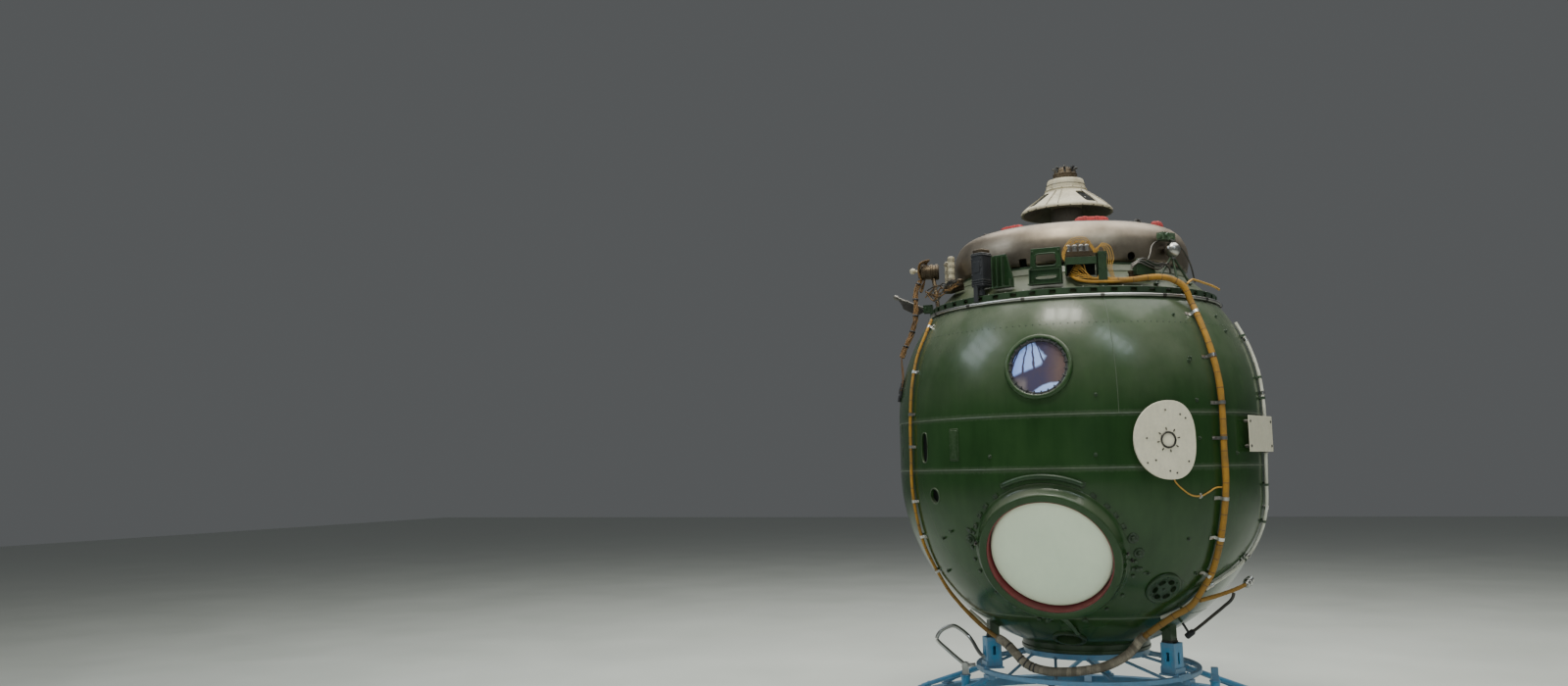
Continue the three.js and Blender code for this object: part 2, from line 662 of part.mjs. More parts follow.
addMesh('antenna_arm', armLocal(join(
  drum(12, -18, 18, 12).rotateY(Math.PI / 2),
  bar(new THREE.Vector3(0, 0, 0), armTip, 8),
  bar(armTip.clone().multiplyScalar(0.9), armTip.clone().multiplyScalar(1.02), 16),
  blade,
)), 'steel');

// Harnesses and pipes held to the hull all the way, along their real routes: azimuth, lift, height.
const held = (route, radius, colour, name, steps, start = []) => {
  const points = start.concat(route.map(([azimuth, lift, height]) => {
    const centre = Math.min(Math.max(height, LOWER_CENTRE), UPPER_CENTRE);
    const hull = Math.sqrt(Math.max(HULL_RADIUS ** 2 - (height - centre) ** 2, 0));
    const normal = new THREE.Vector3(
      hull * Math.sin(rad(azimuth)),
      -hull * Math.cos(rad(azimuth)),
      height - centre,
    ).normalize();
    return normal.multiplyScalar(HULL_RADIUS + lift).add(new THREE.Vector3(0, 0, centre));
  }));
  addMesh(name, tube(points, radius, 6, steps), colour);
  return points;
};

const mainEnd = held([
  [55.1, 28, 2480], [54.5, 26, 2405], [53.9, 26, 2230], [53.9, 26, 2040], [53.8, 26, 1850],
  [53.6, 26, 1670], [53.8, 26, 1490], [54, 26, 1330], [54.8, 26, 1160], [55.8, 28, 1010],
  [54.6, 36, 925], [53.1, 48, 855], [50.6, 49, 818], [47.8, 47, 792], [44.7, 46, 748],
  [42.1, 47, 712], [39.9, 51, 675],
], 18, 'harness', 'main_harness', 42, [
  polar(24.4, 780, 2700), polar(27.5, 797, 2668), polar(33, 806, 2656), polar(40, 820, 2651),
  polar(45, 850, 2643), polar(50, 880, 2623), polar(54, 912, 2588),
]);

const leftEnd = held([
  [-55.6, 18, 2495], [-53, 16, 2410], [-51.9, 16, 2260], [-50.2, 16, 2080], [-49.6, 16, 1880],
  [-49.9, 16, 1670], [-50.3, 16, 1470], [-51.3, 16, 1280], [-53.4, 16, 1110], [-57, 18, 900],
  [-58.6, 26, 800], [-57.6, 36, 740], [-55.4, 46, 706], [-52.4, 56, 682], [-48.6, 66, 667],
  [-44.8, 75, 660], [-41, 83, 655],
], 10, 'harness', 'left_harness', 30);

held([
  [86, 18, 2410], [84.6, 18, 2270], [83, 18, 2110], [81.3, 16, 1940], [80.8, 16, 1760],
  [79.4, 16, 1610], [79.4, 16, 1480], [83, 16, 1340], [85, 16, 1210], [80, 16, 1090],
  [72, 16, 1011], [66.2, 16, 968], [61.7, 16, 936], [58.5, 16, 900], [55.4, 16, 853],
  [52.4, 16, 802], [48.2, 14, 770], [44.5, 14, 750],
], 10, 'white', 'side_pipe', 26);

// Bundle from the drive down to the hull, and the branch to a connector on the right.
addMesh('left_bundle', tube([
  polar(-73, 940, 2796), polar(-72, 965, 2740), polar(-71, 975, 2680), polar(-70, 975, 2600),
  polar(-69, 985, 2520), polar(-68, 1010, 2440), polar(-67, 1045, 2370), polar(-66, 1080, 2290),
], 20, 6, 14), 'brown');

addMesh('harness_branch', join(
  tube([
    polar(55.3, 879, 838), polar(58, 889, 845), polar(63, 915, 860), polar(70, 955, 885),
    polar(76, 985, 908),
  ], 13, 8, 10),
  bar(polar(75, 985, 903), polar(80, 990, 930), 26, 12),
), 'brown');

// Free cords: each route is its centre line, from where the cord leaves the object.
const past = (points, distance) => {
  const [before, last] = points.slice(-2);
  return last.clone().add(last.clone().sub(before).setLength(distance));
};
const BOTTOM_CABLE = [
  past(mainEnd, 1),
  past(mainEnd, 40),
  ...[
    [36.7, 609, 572], [31.9, 603, 526], [25.8, 600, 491], [18.9, 600, 463],
    [10.9, 600, 445], [1.5, 600, 432], [-7.5, 600, 427], [-14.5, 600, 431], [-20.6, 605, 444],
    [-25.6, 615, 473], [-29.4, 625, 512], [-33, 632, 546],
  ].map(([azimuth, radius, height]) => polar(azimuth, radius, height)),
  past(leftEnd, 45),
  past(leftEnd, 2),
];
addMesh('bottom_cable', tube(BOTTOM_CABLE, 26, 8, 22), 'tape');

const RIGHT_LEAD = [
  [69.5, 952, 866], [69.5, 945, 843], [69.6, 925, 818], [69.8, 895, 794], [70, 867, 771],
  [70, 835, 745], [70, 803, 719], [70, 770, 692], [70, 735, 664], [70, 701, 637.5],
].map(([azimuth, radius, height]) => polar(azimuth, radius, height));
addMesh('right_lead', tube(RIGHT_LEAD, 9, 8, 18), 'black');
addMesh('right_plug', join(
  bar(past(RIGHT_LEAD, 0.5), past(RIGHT_LEAD, 58), 18, 12),
  bar(past(RIGHT_LEAD, 34), polar(70, 634.5, 677), 7),
), 'black');

// Stand: a ring with a seat and three uprights, on six braced legs and a floor ring.
const squareRing = (radius, height, half, segments) => turned([
  [radius - half, height - half],
  [radius + half, height - half],
  [radius + half, height + half],
  [radius - half, height + half],
], segments);

const seatStruts = Array.from({ length: 12 }, (_, i) => bar(
  polar(i * 30 + 25, STAND_RADIUS, STAND_HEIGHT - 9),
  polar(i * 30 + 10, SEAT_RADIUS, 470),
  9,
  5,
));
addMesh('stand_ring', join(
  squareRing(STAND_RADIUS, STAND_HEIGHT, STAND_TUBE, 36),
  turned([
    [SEAT_RADIUS - 20, 460],
    [SEAT_RADIUS + 20, 460],
    [SEAT_RADIUS + 20, FRAME_BOTTOM - GAP],
    [SEAT_RADIUS - 20, FRAME_BOTTOM - GAP],
  ], 36),
  ...seatStruts,
), 'blue');

const underHull = ball(HULL_RADIUS + 5, LOWER_CENTRE, 96);
const UPRIGHT_RADIUS = 600;
const UPRIGHT_TOP = 573;
Object.entries(UPRIGHTS).forEach(([side, azimuth]) => {
  addMesh(`stand_upright_${side}`, join(
    block(azimuth, UPRIGHT_RADIUS, 90, 90, STAND_HEIGHT + STAND_TUBE + GAP, UPRIGHT_TOP),
    cut(
      block(azimuth, UPRIGHT_RADIUS - 12, 62, 62, UPRIGHT_TOP - 2, 720),
      underHull,
    ),
    block(azimuth, UPRIGHT_RADIUS + 12, 118, 130, STAND_HEIGHT + STAND_TUBE + GAP, STAND_HEIGHT + STAND_TUBE + 10),
  ), 'blue');
});

const POST_RADIUS = 740;
const POST_TOP = 305;
const CLAMP_TOP = 380;
const baseTop = BASE_RING_HEIGHT + BASE_TUBE;
const posts = Object.values(BEAM_ENDS).map((azimuth) => post(azimuth, POST_RADIUS, 28, 90, POST_TOP, 10));
const rightClamp = block(BEAM_ENDS.right, POST_RADIUS, 34, 40, POST_TOP - 2, CLAMP_TOP);
const feet = Array.from({ length: 8 }, (_, i) => join(
  post(i * 45 + 22.5, BASE_RING_RADIUS, 16, 8, 80, 6),
  post(i * 45 + 22.5, BASE_RING_RADIUS, 45, 0, 12, 10),
));
addMesh('stand_base', join(
  squareRing(BASE_RING_RADIUS, BASE_RING_HEIGHT, BASE_TUBE, 36).rotateZ(rad(5)),
  ...feet,
), 'blue');
const beamLength = 2 * (BASE_RING_RADIUS - BASE_TUBE) * Math.cos(rad(5)) - 2 * GAP;
addMesh('stand_beams', join(
  block(BEAM_ENDS.left, 0, beamLength, 50, 70, 120).rotateZ(rad(90)),
  block(BEAM_ENDS.left, 0, beamLength, 50, 70, 120),
  ...posts,
  rightClamp,
), 'blue');

LEG_AZIMUTHS.forEach((azimuth, i) => {
  const top = polar(azimuth, STAND_RADIUS, STAND_HEIGHT - STAND_TUBE - 24);
  const ends = [-7, 7].map((turn) => polar(azimuth + turn, BASE_RING_RADIUS, baseTop + 22));
  const ringBottom = STAND_HEIGHT - STAND_TUBE;
  addMesh(`stand_leg_${i + 1}`, join(
    block(azimuth, STAND_RADIUS, 70, 44, ringBottom - 28, ringBottom - GAP),
    ...ends.map((end) => bar(end, top, 15, 6)),
    ...[-7, 7].map((turn) => block(azimuth + turn, BASE_RING_RADIUS, 70, 54, baseTop + GAP, baseTop + 26)),
  ), 'blue');
});

const LOOP = [
  [676, 366], [700, 364], [740, 366], [800, 412], [860, 464], [905, 505], [912, 530], [890, 566],
  [850, 592], [805, 603], [760, 580], [715, 545, 1], [684, 512, 5], [668, 486, 11], [661, 468, 17],
  [659, 460, 21], [659, 458, 24],
].map(([radius, height, turn = 0]) => polar(BEAM_ENDS.left + turn, radius, height));
const loopTube = tube(LOOP, 12, 6, 24);
addMesh('stand_loop', join(
  loopTube,
  block(BEAM_ENDS.left, POST_RADIUS, 34, 40, POST_TOP + GAP, CLAMP_TOP),
), 'steel');

export default group;
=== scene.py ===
# %% [markdown]
# # A spacecraft's living module on its stand
#
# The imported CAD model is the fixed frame. This file dresses it: smooth surfaces, real finishes and
# small parts, each riding on the CAD body that carries it. Lengths are in metres, +Z is up, and the
# origin is on the floor on the module's axis. An azimuth is in degrees from -Y towards +X.

# %% Load the frame
import json
import math

import bmesh
import bpy
import numpy as np
from mathutils import Matrix

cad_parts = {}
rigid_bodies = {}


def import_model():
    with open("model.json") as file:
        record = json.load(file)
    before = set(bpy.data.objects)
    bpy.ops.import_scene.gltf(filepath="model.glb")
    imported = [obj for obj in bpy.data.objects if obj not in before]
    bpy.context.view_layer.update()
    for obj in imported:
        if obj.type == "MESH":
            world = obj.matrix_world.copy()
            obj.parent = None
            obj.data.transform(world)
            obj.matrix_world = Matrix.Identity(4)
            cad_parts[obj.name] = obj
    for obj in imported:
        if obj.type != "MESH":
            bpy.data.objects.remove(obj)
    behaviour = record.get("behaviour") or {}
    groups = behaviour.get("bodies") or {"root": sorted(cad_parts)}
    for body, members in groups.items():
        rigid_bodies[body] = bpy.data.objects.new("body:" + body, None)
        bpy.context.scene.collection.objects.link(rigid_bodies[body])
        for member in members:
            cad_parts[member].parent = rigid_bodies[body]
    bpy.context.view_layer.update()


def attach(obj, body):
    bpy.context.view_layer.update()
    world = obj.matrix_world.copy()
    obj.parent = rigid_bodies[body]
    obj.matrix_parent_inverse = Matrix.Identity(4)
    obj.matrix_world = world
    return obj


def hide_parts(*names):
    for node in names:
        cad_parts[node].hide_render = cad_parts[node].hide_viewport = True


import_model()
ROOT = "module_and_stand"

# %% [markdown]
# ## Camera
#
# The camera stands where the photographer stood, 7.7 m from the module's axis at eye height. Its
# angle and focal length were solved from the hull's outline and seams, so a pixel of the photograph
# and a pixel of the render show the same place on the part.

# %% Camera
CAMERA_PLACE = np.array([1.3556, -7.534, 1.598])
CAMERA_TURN, CAMERA_TILT, CAMERA_ROLL = np.radians([-23.95, 6.13, -1.06])
FOCAL_PIXELS = 1209.0
PHOTO_WIDTH = 1600
SENSOR_WIDTH = 36.0


def axes_matrix(right, up, out, place):
    """A matrix whose columns are three axes and a place."""
    matrix = np.eye(4)
    matrix[:3] = np.column_stack([right, up, out, place])
    return matrix


def unit(vectors):
    """Vectors of length one, for one vector or rows of them."""
    return vectors / np.linalg.norm(vectors, axis=-1, keepdims=True)


def camera_axes(turn, tilt, roll):
    """Right, up and forward: forward is (sin t cos p, cos t cos p, sin p); roll turns the others about it."""
    forward = np.array([math.sin(turn) * math.cos(tilt), math.cos(turn) * math.cos(tilt), math.sin(tilt)])
    right = np.array([math.cos(turn), -math.sin(turn), 0.0])
    up = np.cross(right, forward)
    return (
        math.cos(roll) * right + math.sin(roll) * up,
        math.cos(roll) * up - math.sin(roll) * right,
        forward,
    )


def add_camera():
    right, up, forward = camera_axes(CAMERA_TURN, CAMERA_TILT, CAMERA_ROLL)
    data = bpy.data.cameras.new("photo_camera")
    data.sensor_width = SENSOR_WIDTH
    data.lens = SENSOR_WIDTH * FOCAL_PIXELS / PHOTO_WIDTH
    camera = bpy.data.objects.new("photo_camera", data)
    bpy.context.scene.collection.objects.link(camera)
    camera.matrix_world = Matrix(axes_matrix(right, up, -forward, CAMERA_PLACE).tolist())
    bpy.context.scene.camera = camera
    return camera


print("lens mm:", round(add_camera().data.lens, 2))

# %% [markdown]
# ## Surfaces from arrays
#
# Nearly every part of a spacecraft is turned, rolled or drawn along a path. So a few functions make
# all of them: a grid of points gives the faces, a profile turned about an axis gives rings and
# shells, and a circle carried along a line gives pipes and harnesses.


# %% Grids and turned shapes
def grid_faces(rows, columns, wrap_rows=False, wrap_columns=False):
    """Quads of a grid: point (i, j) is joined to its next row and column, round the corner where it wraps."""
    i, j = np.meshgrid(
        np.arange(rows if wrap_rows else rows - 1),
        np.arange(columns if wrap_columns else columns - 1),
        indexing="ij",
    )
    i2, j2 = (i + 1) % rows, (j + 1) % columns
    quads = [i * columns + j, i2 * columns + j, i2 * columns + j2, i * columns + j2]
    return np.stack(quads, -1).reshape(-1, 4)


def polar(azimuth, radius, height):
    """Points (r sin a, -r cos a, h), for numbers or whole arrays."""
    a, r, h = np.broadcast_arrays(np.radians(azimuth), radius, height)
    return np.stack([r * np.sin(a), -r * np.cos(a), h + 0.0], -1)


def polar_rows(rows):
    """Points from rows of azimuth, radius and height."""
    return polar(*np.array(rows).T)


def turned(profile, steps=128, closed=True):
    """A profile of (radius, height) turned about Z: every profile point goes to (r sin a, -r cos a, h)."""
    radius, height = np.array(profile, float).T
    angle = np.arange(steps)[:, None] * 360.0 / steps
    points = polar(angle, radius[None], height[None])
    return points.reshape(-1, 3), grid_faces(steps, len(radius), True, closed)


def placed(shape, matrix):
    """A shape moved by a matrix: p goes to R p + t."""
    points, faces = shape
    return points @ matrix[:3, :3].T + matrix[:3, 3], faces


def shifted(x=0.0, y=0.0, z=0.0):
    """A matrix that only moves."""
    matrix = np.eye(4)
    matrix[:3, 3] = x, y, z
    return matrix


def evenly(count, start=0.0):
    """Angles in radians, evenly spaced round a circle."""
    return np.radians(np.arange(count) * 360.0 / count + start)


def together(*shapes):
    """Several shapes as one: each one's face numbers start where the last one's points end."""
    starts = np.cumsum([0] + [len(points) for points, _ in shapes])
    faces = [face for start, (_, fs) in zip(starts, shapes) for face in (np.asarray(fs) + start).tolist()]
    return np.concatenate([points for points, _ in shapes]), faces


def arc(radius, centre, start, end, steps):
    """Points (radius cos e, centre + radius sin e) for elevations e from start to end."""
    e = np.radians(np.linspace(start, end, steps + 1))
    return np.stack([radius * np.cos(e), centre + radius * np.sin(e)], -1).tolist()


# %% Making a piece
def new_mesh(name, shape):
    """A mesh from points and faces, whose corners may be given in an array or in lists."""
    points, faces = shape
    mesh = bpy.data.meshes.new(name)
    mesh.from_pydata(
        np.asarray(points).tolist(), [], faces.tolist() if isinstance(faces, np.ndarray) else faces
    )
    return mesh


def mark_edges(made, sharp):
    """Edges are smooth where two faces meet at less than the angle."""
    limit = math.radians(sharp)
    for edge in made.edges:
        edge.smooth = len(edge.link_faces) == 2 and edge.calc_face_angle(0.0) < limit


def make_piece(name, shape, material, body=ROOT, replaces=(), sharp=30.0, uv=None, tidy=True):
    """A mesh object at the origin from points and faces, smooth but for edges sharper than the angle."""
    mesh = new_mesh(name, shape)
    if uv is not None:
        mesh.uv_layers.new(name="wrap").data.foreach_set("uv", np.asarray(uv, np.float32).ravel())
    made = bmesh.new()
    made.from_mesh(mesh)
    bmesh.ops.remove_doubles(made, verts=made.verts, dist=1e-6)
    if tidy:
        bmesh.ops.recalc_face_normals(made, faces=made.faces)
    mark_edges(made, sharp)
    for face in made.faces:
        face.smooth = True
    made.to_mesh(mesh)
    made.free()
    mesh.materials.append(material)
    piece = bpy.data.objects.new(name, mesh)
    bpy.context.scene.collection.objects.link(piece)
    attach(piece, body)
    if replaces:
        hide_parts(*replaces)
    return piece


def make_drawn(name, made, material, replaces=()):
    """A piece from a hose and its UV; its faces look outwards as they are."""
    shape, uv = made
    return make_piece(name, shape, material, replaces=replaces, uv=uv, tidy=False)


def softened(piece, width):
    """Rounds the piece's sharp edges, so that they catch the light as real ones do."""
    bevel = piece.modifiers.new("rounded edges", "BEVEL")
    bevel.width = width
    bevel.segments = 2
    bevel.limit_method = "ANGLE"
    bevel.angle_limit = math.radians(35.0)
    bevel.harden_normals = True
    bevel.use_clamp_overlap = True
    return piece


def carved(piece, *cutters, sharp=30.0):
    """Cuts closed shapes out of a piece, and keeps the result as its mesh."""
    tools = []
    for number, cutter in enumerate(cutters):
        mesh = new_mesh(f"cutter_{number}", cutter)
        made = bmesh.new()
        made.from_mesh(mesh)
        bmesh.ops.remove_doubles(made, verts=made.verts, dist=1e-6)
        bmesh.ops.recalc_face_normals(made, faces=made.faces)
        made.to_mesh(mesh)
        made.free()
        tool = bpy.data.objects.new(mesh.name, mesh)
        bpy.context.scene.collection.objects.link(tool)
        tools.append(tool)
        cut = piece.modifiers.new("hole", "BOOLEAN")
        cut.object = tool
        cut.solver = "EXACT"
    bpy.context.view_layer.update()
    evaluated = piece.evaluated_get(bpy.context.evaluated_depsgraph_get())
    mesh = bpy.data.meshes.new_from_object(evaluated)
    piece.modifiers.clear()
    old = piece.data
    piece.data = mesh
    bpy.data.meshes.remove(old)
    mesh.name = piece.name
    for tool in tools:
        bpy.data.meshes.remove(tool.data)
    made = bmesh.new()
    made.from_mesh(mesh)
    mark_edges(made, sharp)
    made.to_mesh(mesh)
    made.free()
    return piece


# %% Paths and hoses
LEAN = (0.3, 0.2, 1.0)  # a direction that no path of a wire runs along


def run_of(line):
    """Distance along a line at each of its points."""
    return np.concatenate([[0], np.cumsum(np.linalg.norm(np.diff(line, axis=0), axis=1))])


def smooth_line(points, spacing=0.012):
    """Catmull-Rom curve through the points, then evenly spaced along its length."""
    p = np.asarray(points, float)
    p = np.concatenate([2 * p[:1] - p[1:2], p, 2 * p[-1:] - p[-2:-1]])
    t = np.linspace(0, 1, 24, endpoint=False)[None, :, None]
    a, b, c, d = p[:-3, None], p[1:-2, None], p[2:-1, None], p[3:, None]
    curve = 0.5 * (
        2 * b + (c - a) * t + (2 * a - 5 * b + 4 * c - d) * t**2 + (3 * b - a - 3 * c + d) * t**3
    )
    curve = np.concatenate([curve.reshape(-1, 3), p[-2:-1]])
    run = run_of(curve)
    even = np.linspace(0, run[-1], max(4, int(round(run[-1] / spacing))) + 1)
    return np.stack([np.interp(even, run, curve[:, k]) for k in range(3)], -1)


def smooth_profile(rows, spacing):
    """A smooth curve through rows of radius and height, as rows again."""
    return smooth_line([[radius, 0.0, height] for radius, height in rows], spacing)[:, [0, 2]].tolist()


def line_length(line):
    """The sum of the distances from each point of a line to the next."""
    return float(np.linalg.norm(np.diff(line, axis=0), axis=1).sum())


def hose(line, radius, sides=14, aside=(0.0, 0.0, 1.0)):
    """A circle carried along a line: c + r (cos u n + sin u b), with n square to the line, towards aside.

    Returns the shape and its UV, with U round the hose and V the distance along it in metres.
    """
    line = np.asarray(line, float)
    tangent = unit(np.gradient(line, axis=0))
    aside = np.broadcast_to(np.asarray(aside, float), line.shape)
    normal = unit(aside - (aside * tangent).sum(1, keepdims=True) * tangent)
    across = np.cross(tangent, normal)
    run = run_of(line)
    radius = np.broadcast_to(np.asarray(radius, float), (len(line),))
    line, normal, across = (np.concatenate([x[:1], x, x[-1:]]) for x in (line, normal, across))
    radius = np.concatenate([[0], radius, [0]])
    run = np.concatenate([run[:1], run, run[-1:]])
    u = 2 * np.pi * np.arange(sides) / sides
    ring = np.cos(u)[None, :, None] * normal[:, None] + np.sin(u)[None, :, None] * across[:, None]
    points = line[:, None] + radius[:, None, None] * ring
    faces = grid_faces(len(line), sides, False, True)
    i, j = np.meshgrid(np.arange(len(line) - 1), np.arange(sides), indexing="ij")
    corners = [(j, i), (j, i + 1), (j + 1, i + 1), (j + 1, i)]
    uv = np.stack([np.stack([a / sides, run[b]], -1) for a, b in corners], 2).reshape(-1, 2)
    return (points.reshape(-1, 3), faces), uv


def hoses(*made):
    """Several hoses as one shape, with their UVs in the same order."""
    return together(*(shape for shape, _ in made)), np.concatenate([uv for _, uv in made])


# %% Places on the hull, and small parts repeated there
HULL, WALL = 1.1, 0.03
LOWER, UPPER = 1.58, 1.87


def frames_at(azimuth, elevation, centre, distance, turn=0.0):
    """Matrices with X to the right, Y up and Z outwards, at a distance from a centre on the axis."""
    a, e, c, d, w = np.broadcast_arrays(
        np.radians(azimuth), np.radians(elevation), centre, distance, np.radians(turn)
    )
    right = np.stack([np.cos(a), np.sin(a), 0 * a], -1)
    out = np.stack([np.sin(a) * np.cos(e), -np.cos(a) * np.cos(e), np.sin(e)], -1)
    up = np.cross(out, right)
    matrix = np.zeros(a.shape + (4, 4))
    matrix[..., :3, 0] = np.cos(w)[..., None] * right + np.sin(w)[..., None] * up
    matrix[..., :3, 1] = np.cos(w)[..., None] * up - np.sin(w)[..., None] * right
    matrix[..., :3, 2] = out
    matrix[..., :3, 3] = out * d[..., None]
    matrix[..., 2, 3] += c
    matrix[..., 3, 3] = 1
    return matrix


def on_hull(azimuth, height, lift=0.0, turn=0.0):
    """Frames on the hull's skin: sin e is the height above the nearer centre over the radius."""
    azimuth, height = np.broadcast_arrays(np.asarray(azimuth, float), np.asarray(height, float))
    centre = np.clip(height, LOWER, UPPER)
    elevation = np.degrees(np.arcsin(np.clip((height - centre) / HULL, -1, 1)))
    return frames_at(azimuth, elevation, centre, HULL + lift, turn)


def stamped(shape, matrices):
    """Copies of one small shape, one for each matrix, as a single shape."""
    points, faces = shape
    faces = np.asarray(faces)
    matrices = np.asarray(matrices).reshape(-1, 4, 4)
    moved = np.einsum("nij,kj->nki", matrices[:, :3, :3], points) + matrices[:, None, :3, 3]
    numbers = faces[None] + np.arange(len(matrices))[:, None, None] * len(points)
    return moved.reshape(-1, 3), numbers.reshape(-1, faces.shape[1])


def disc(radius, low, high, sides=16, edge=0.0):
    """A short drum on the Z axis, its upper edge sloped by edge."""
    return turned(
        [[0, low], [radius, low], [radius, high - edge], [radius - edge, high], [0, high]], sides, False
    )


def slab(width, depth, height, x=0.0, y=0.0, z=0.0):
    """A rectangular block about a point, from its eight corners."""
    corner = np.array([[i, j, k] for i in (-0.5, 0.5) for j in (-0.5, 0.5) for k in (-0.5, 0.5)])
    points = corner * [width, depth, height] + [x, y, z]
    return points, np.array(
        [[0, 1, 3, 2], [4, 6, 7, 5], [0, 4, 5, 1], [2, 3, 7, 6], [0, 2, 6, 4], [1, 5, 7, 3]]
    )


def standing(azimuth, radius, height):
    """A frame on the deck or the stand: X along the rim to the right, Y towards the axis, Z up."""
    a = math.radians(azimuth)
    matrix = np.eye(4)
    matrix[:3, 0] = [math.cos(a), math.sin(a), 0]
    matrix[:3, 1] = [-math.sin(a), math.cos(a), 0]
    matrix[:3, 3] = polar(azimuth, radius, height)
    return matrix


def around(radius, height, azimuths):
    """Standing frames at one radius and height, one for each azimuth."""
    return [standing(azimuth, radius, height) for azimuth in azimuths]


def raised(rows, base):
    """Rows of radius and height whose heights were given over a base."""
    return [[radius, base + height] for radius, height in rows]


print("hull radius:", HULL, "seams at:", LOWER, UPPER)

# %% [markdown]
# ## Finishes
#
# Each finish is a Principled shader whose colour, roughness and bump come from small node groups:
# mottled enamel, settled dust with painted top light, worn edges, turned metal, woven wrap and wound
# tape. A group is built once and gets its own values in every finish that shows the effect.


# %% Node helpers
def feed(tree, socket, value):
    """Links another socket, or sets a plain value."""
    if isinstance(value, bpy.types.NodeSocket):
        tree.links.new(value, socket)
    elif value is not None:
        socket.default_value = value


def node(tree, kind, *values, out=0, **settings):
    """A shader node with its inputs given in order; None leaves one as it is. Returns one output."""
    made = tree.nodes.new("ShaderNode" + kind)
    for name, value in settings.items():
        setattr(made, name, value)
    for socket, value in zip(made.inputs, values):
        feed(tree, socket, value)
    return made.outputs[out]


def maths(tree, operation, *values):
    return node(tree, "Math", *values, operation=operation)


def plus(tree, first, second):
    return maths(tree, "ADD", first, second)


def times(tree, first, second):
    return maths(tree, "MULTIPLY", first, second)


def blended(tree, factor, first, second):
    """Mixes two colours by a factor."""
    made = tree.nodes.new("ShaderNodeMix")
    made.data_type = "RGBA"
    feed(tree, made.inputs[0], factor)
    feed(tree, made.inputs[6], first)
    feed(tree, made.inputs[7], second)
    return made.outputs[2]


def spread(tree, value, low, high, to_low=0.0, to_high=1.0):
    """A value stretched so that low becomes to_low and high becomes to_high, held between them."""
    return node(tree, "MapRange", value, low, high, to_low, to_high)


def noise(tree, vector, scale, detail=3.0, roughness=0.55):
    made = tree.nodes.new("ShaderNodeTexNoise")
    feed(tree, made.inputs["Vector"], vector)
    feed(tree, made.inputs["Scale"], scale)
    made.inputs["Detail"].default_value = detail
    made.inputs["Roughness"].default_value = roughness
    return made.outputs["Fac"]


def stretched(tree, vector, factors):
    """A pattern's coordinates multiplied along each axis."""
    return node(tree, "VectorMath", vector, factors, operation="MULTIPLY")


def new_group(name, inputs, outputs):
    """A node group with named number inputs and named outputs."""
    group = bpy.data.node_groups.new(name, "ShaderNodeTree")
    for label, value in inputs:
        socket = group.interface.new_socket(label, in_out="INPUT", socket_type="NodeSocketFloat")
        socket.default_value = value
    for label in outputs:
        group.interface.new_socket(label, in_out="OUTPUT", socket_type="NodeSocketFloat")
    entry = group.nodes.new("NodeGroupInput").outputs
    leave = group.nodes.new("NodeGroupOutput").inputs
    return group, entry, leave


def use_group(tree, group, *values):
    made = tree.nodes.new("ShaderNodeGroup")
    made.node_tree = group
    for socket, value in zip(made.inputs, values):
        feed(tree, socket, value)
    return made.outputs


def object_place(tree):
    return tree.nodes.new("ShaderNodeTexCoord").outputs["Object"]


# %% Mottled enamel
# Brushed enamel is never even: a broad cloudiness where coats differ, and a fine orange peel.
MOTTLE, entry, leave = new_group("mottled enamel", [("Scale", 3.0), ("Peel", 260.0)], ["Clouds", "Peel"])
place = object_place(MOTTLE)
broad = noise(MOTTLE, place, entry["Scale"], 4.0, 0.6)
runs = noise(MOTTLE, stretched(MOTTLE, place, (9.0, 9.0, 1.4)), entry["Scale"], 3.0)
feed(MOTTLE, leave["Clouds"], spread(MOTTLE, plus(MOTTLE, broad, times(MOTTLE, runs, 0.45)), 0.5, 0.95))
feed(MOTTLE, leave["Peel"], noise(MOTTLE, place, entry["Peel"], 2.0))

# %% Settled dust and painted top light
# Dust lies on what faces up, in patches, and its pale tone also paints the light that falls on tops: the mask
# is the normal's height times a noise.
DUST_AND_TOP_LIGHT, entry, leave = new_group("settled dust", [("Amount", 0.3), ("Scale", 6.0)], ["Dust"])
normal = DUST_AND_TOP_LIGHT.nodes.new("ShaderNodeNewGeometry").outputs["Normal"]
upward = node(DUST_AND_TOP_LIGHT, "SeparateXYZ", normal, out=2)
patches = spread(DUST_AND_TOP_LIGHT, noise(DUST_AND_TOP_LIGHT, object_place(DUST_AND_TOP_LIGHT), entry["Scale"], 4.0, 0.55), 0.2, 0.8)
lying = spread(DUST_AND_TOP_LIGHT, upward, 0.0, 0.85)
feed(DUST_AND_TOP_LIGHT, leave["Dust"], times(DUST_AND_TOP_LIGHT, times(DUST_AND_TOP_LIGHT, lying, patches), entry["Amount"]))

# %% Worn edges and scratches
# Paint goes first where hands and tools reach: on sharp edges, found by pointiness, and in fine scratches.
WEAR, entry, leave = new_group("worn edges", [("Amount", 0.5), ("Scratches", 0.2)], ["Worn"])
pointed = WEAR.nodes.new("ShaderNodeNewGeometry").outputs["Pointiness"]
place = object_place(WEAR)
broken = noise(WEAR, place, 55.0, 4.0, 0.7)
edges = spread(WEAR, plus(WEAR, pointed, times(WEAR, broken, 0.08)), 0.57, 0.62)
lines = noise(WEAR, stretched(WEAR, place, (14.0, 14.0, 150.0)), 3.0, 2.0, 0.4)
marks = times(WEAR, spread(WEAR, lines, 0.7, 0.74), spread(WEAR, noise(WEAR, place, 3.0, 2.0), 0.5, 0.6))
worn = plus(WEAR, times(WEAR, edges, entry["Amount"]), times(WEAR, marks, entry["Scratches"]))
feed(WEAR, leave["Worn"], maths(WEAR, "MINIMUM", worn, 1.0))

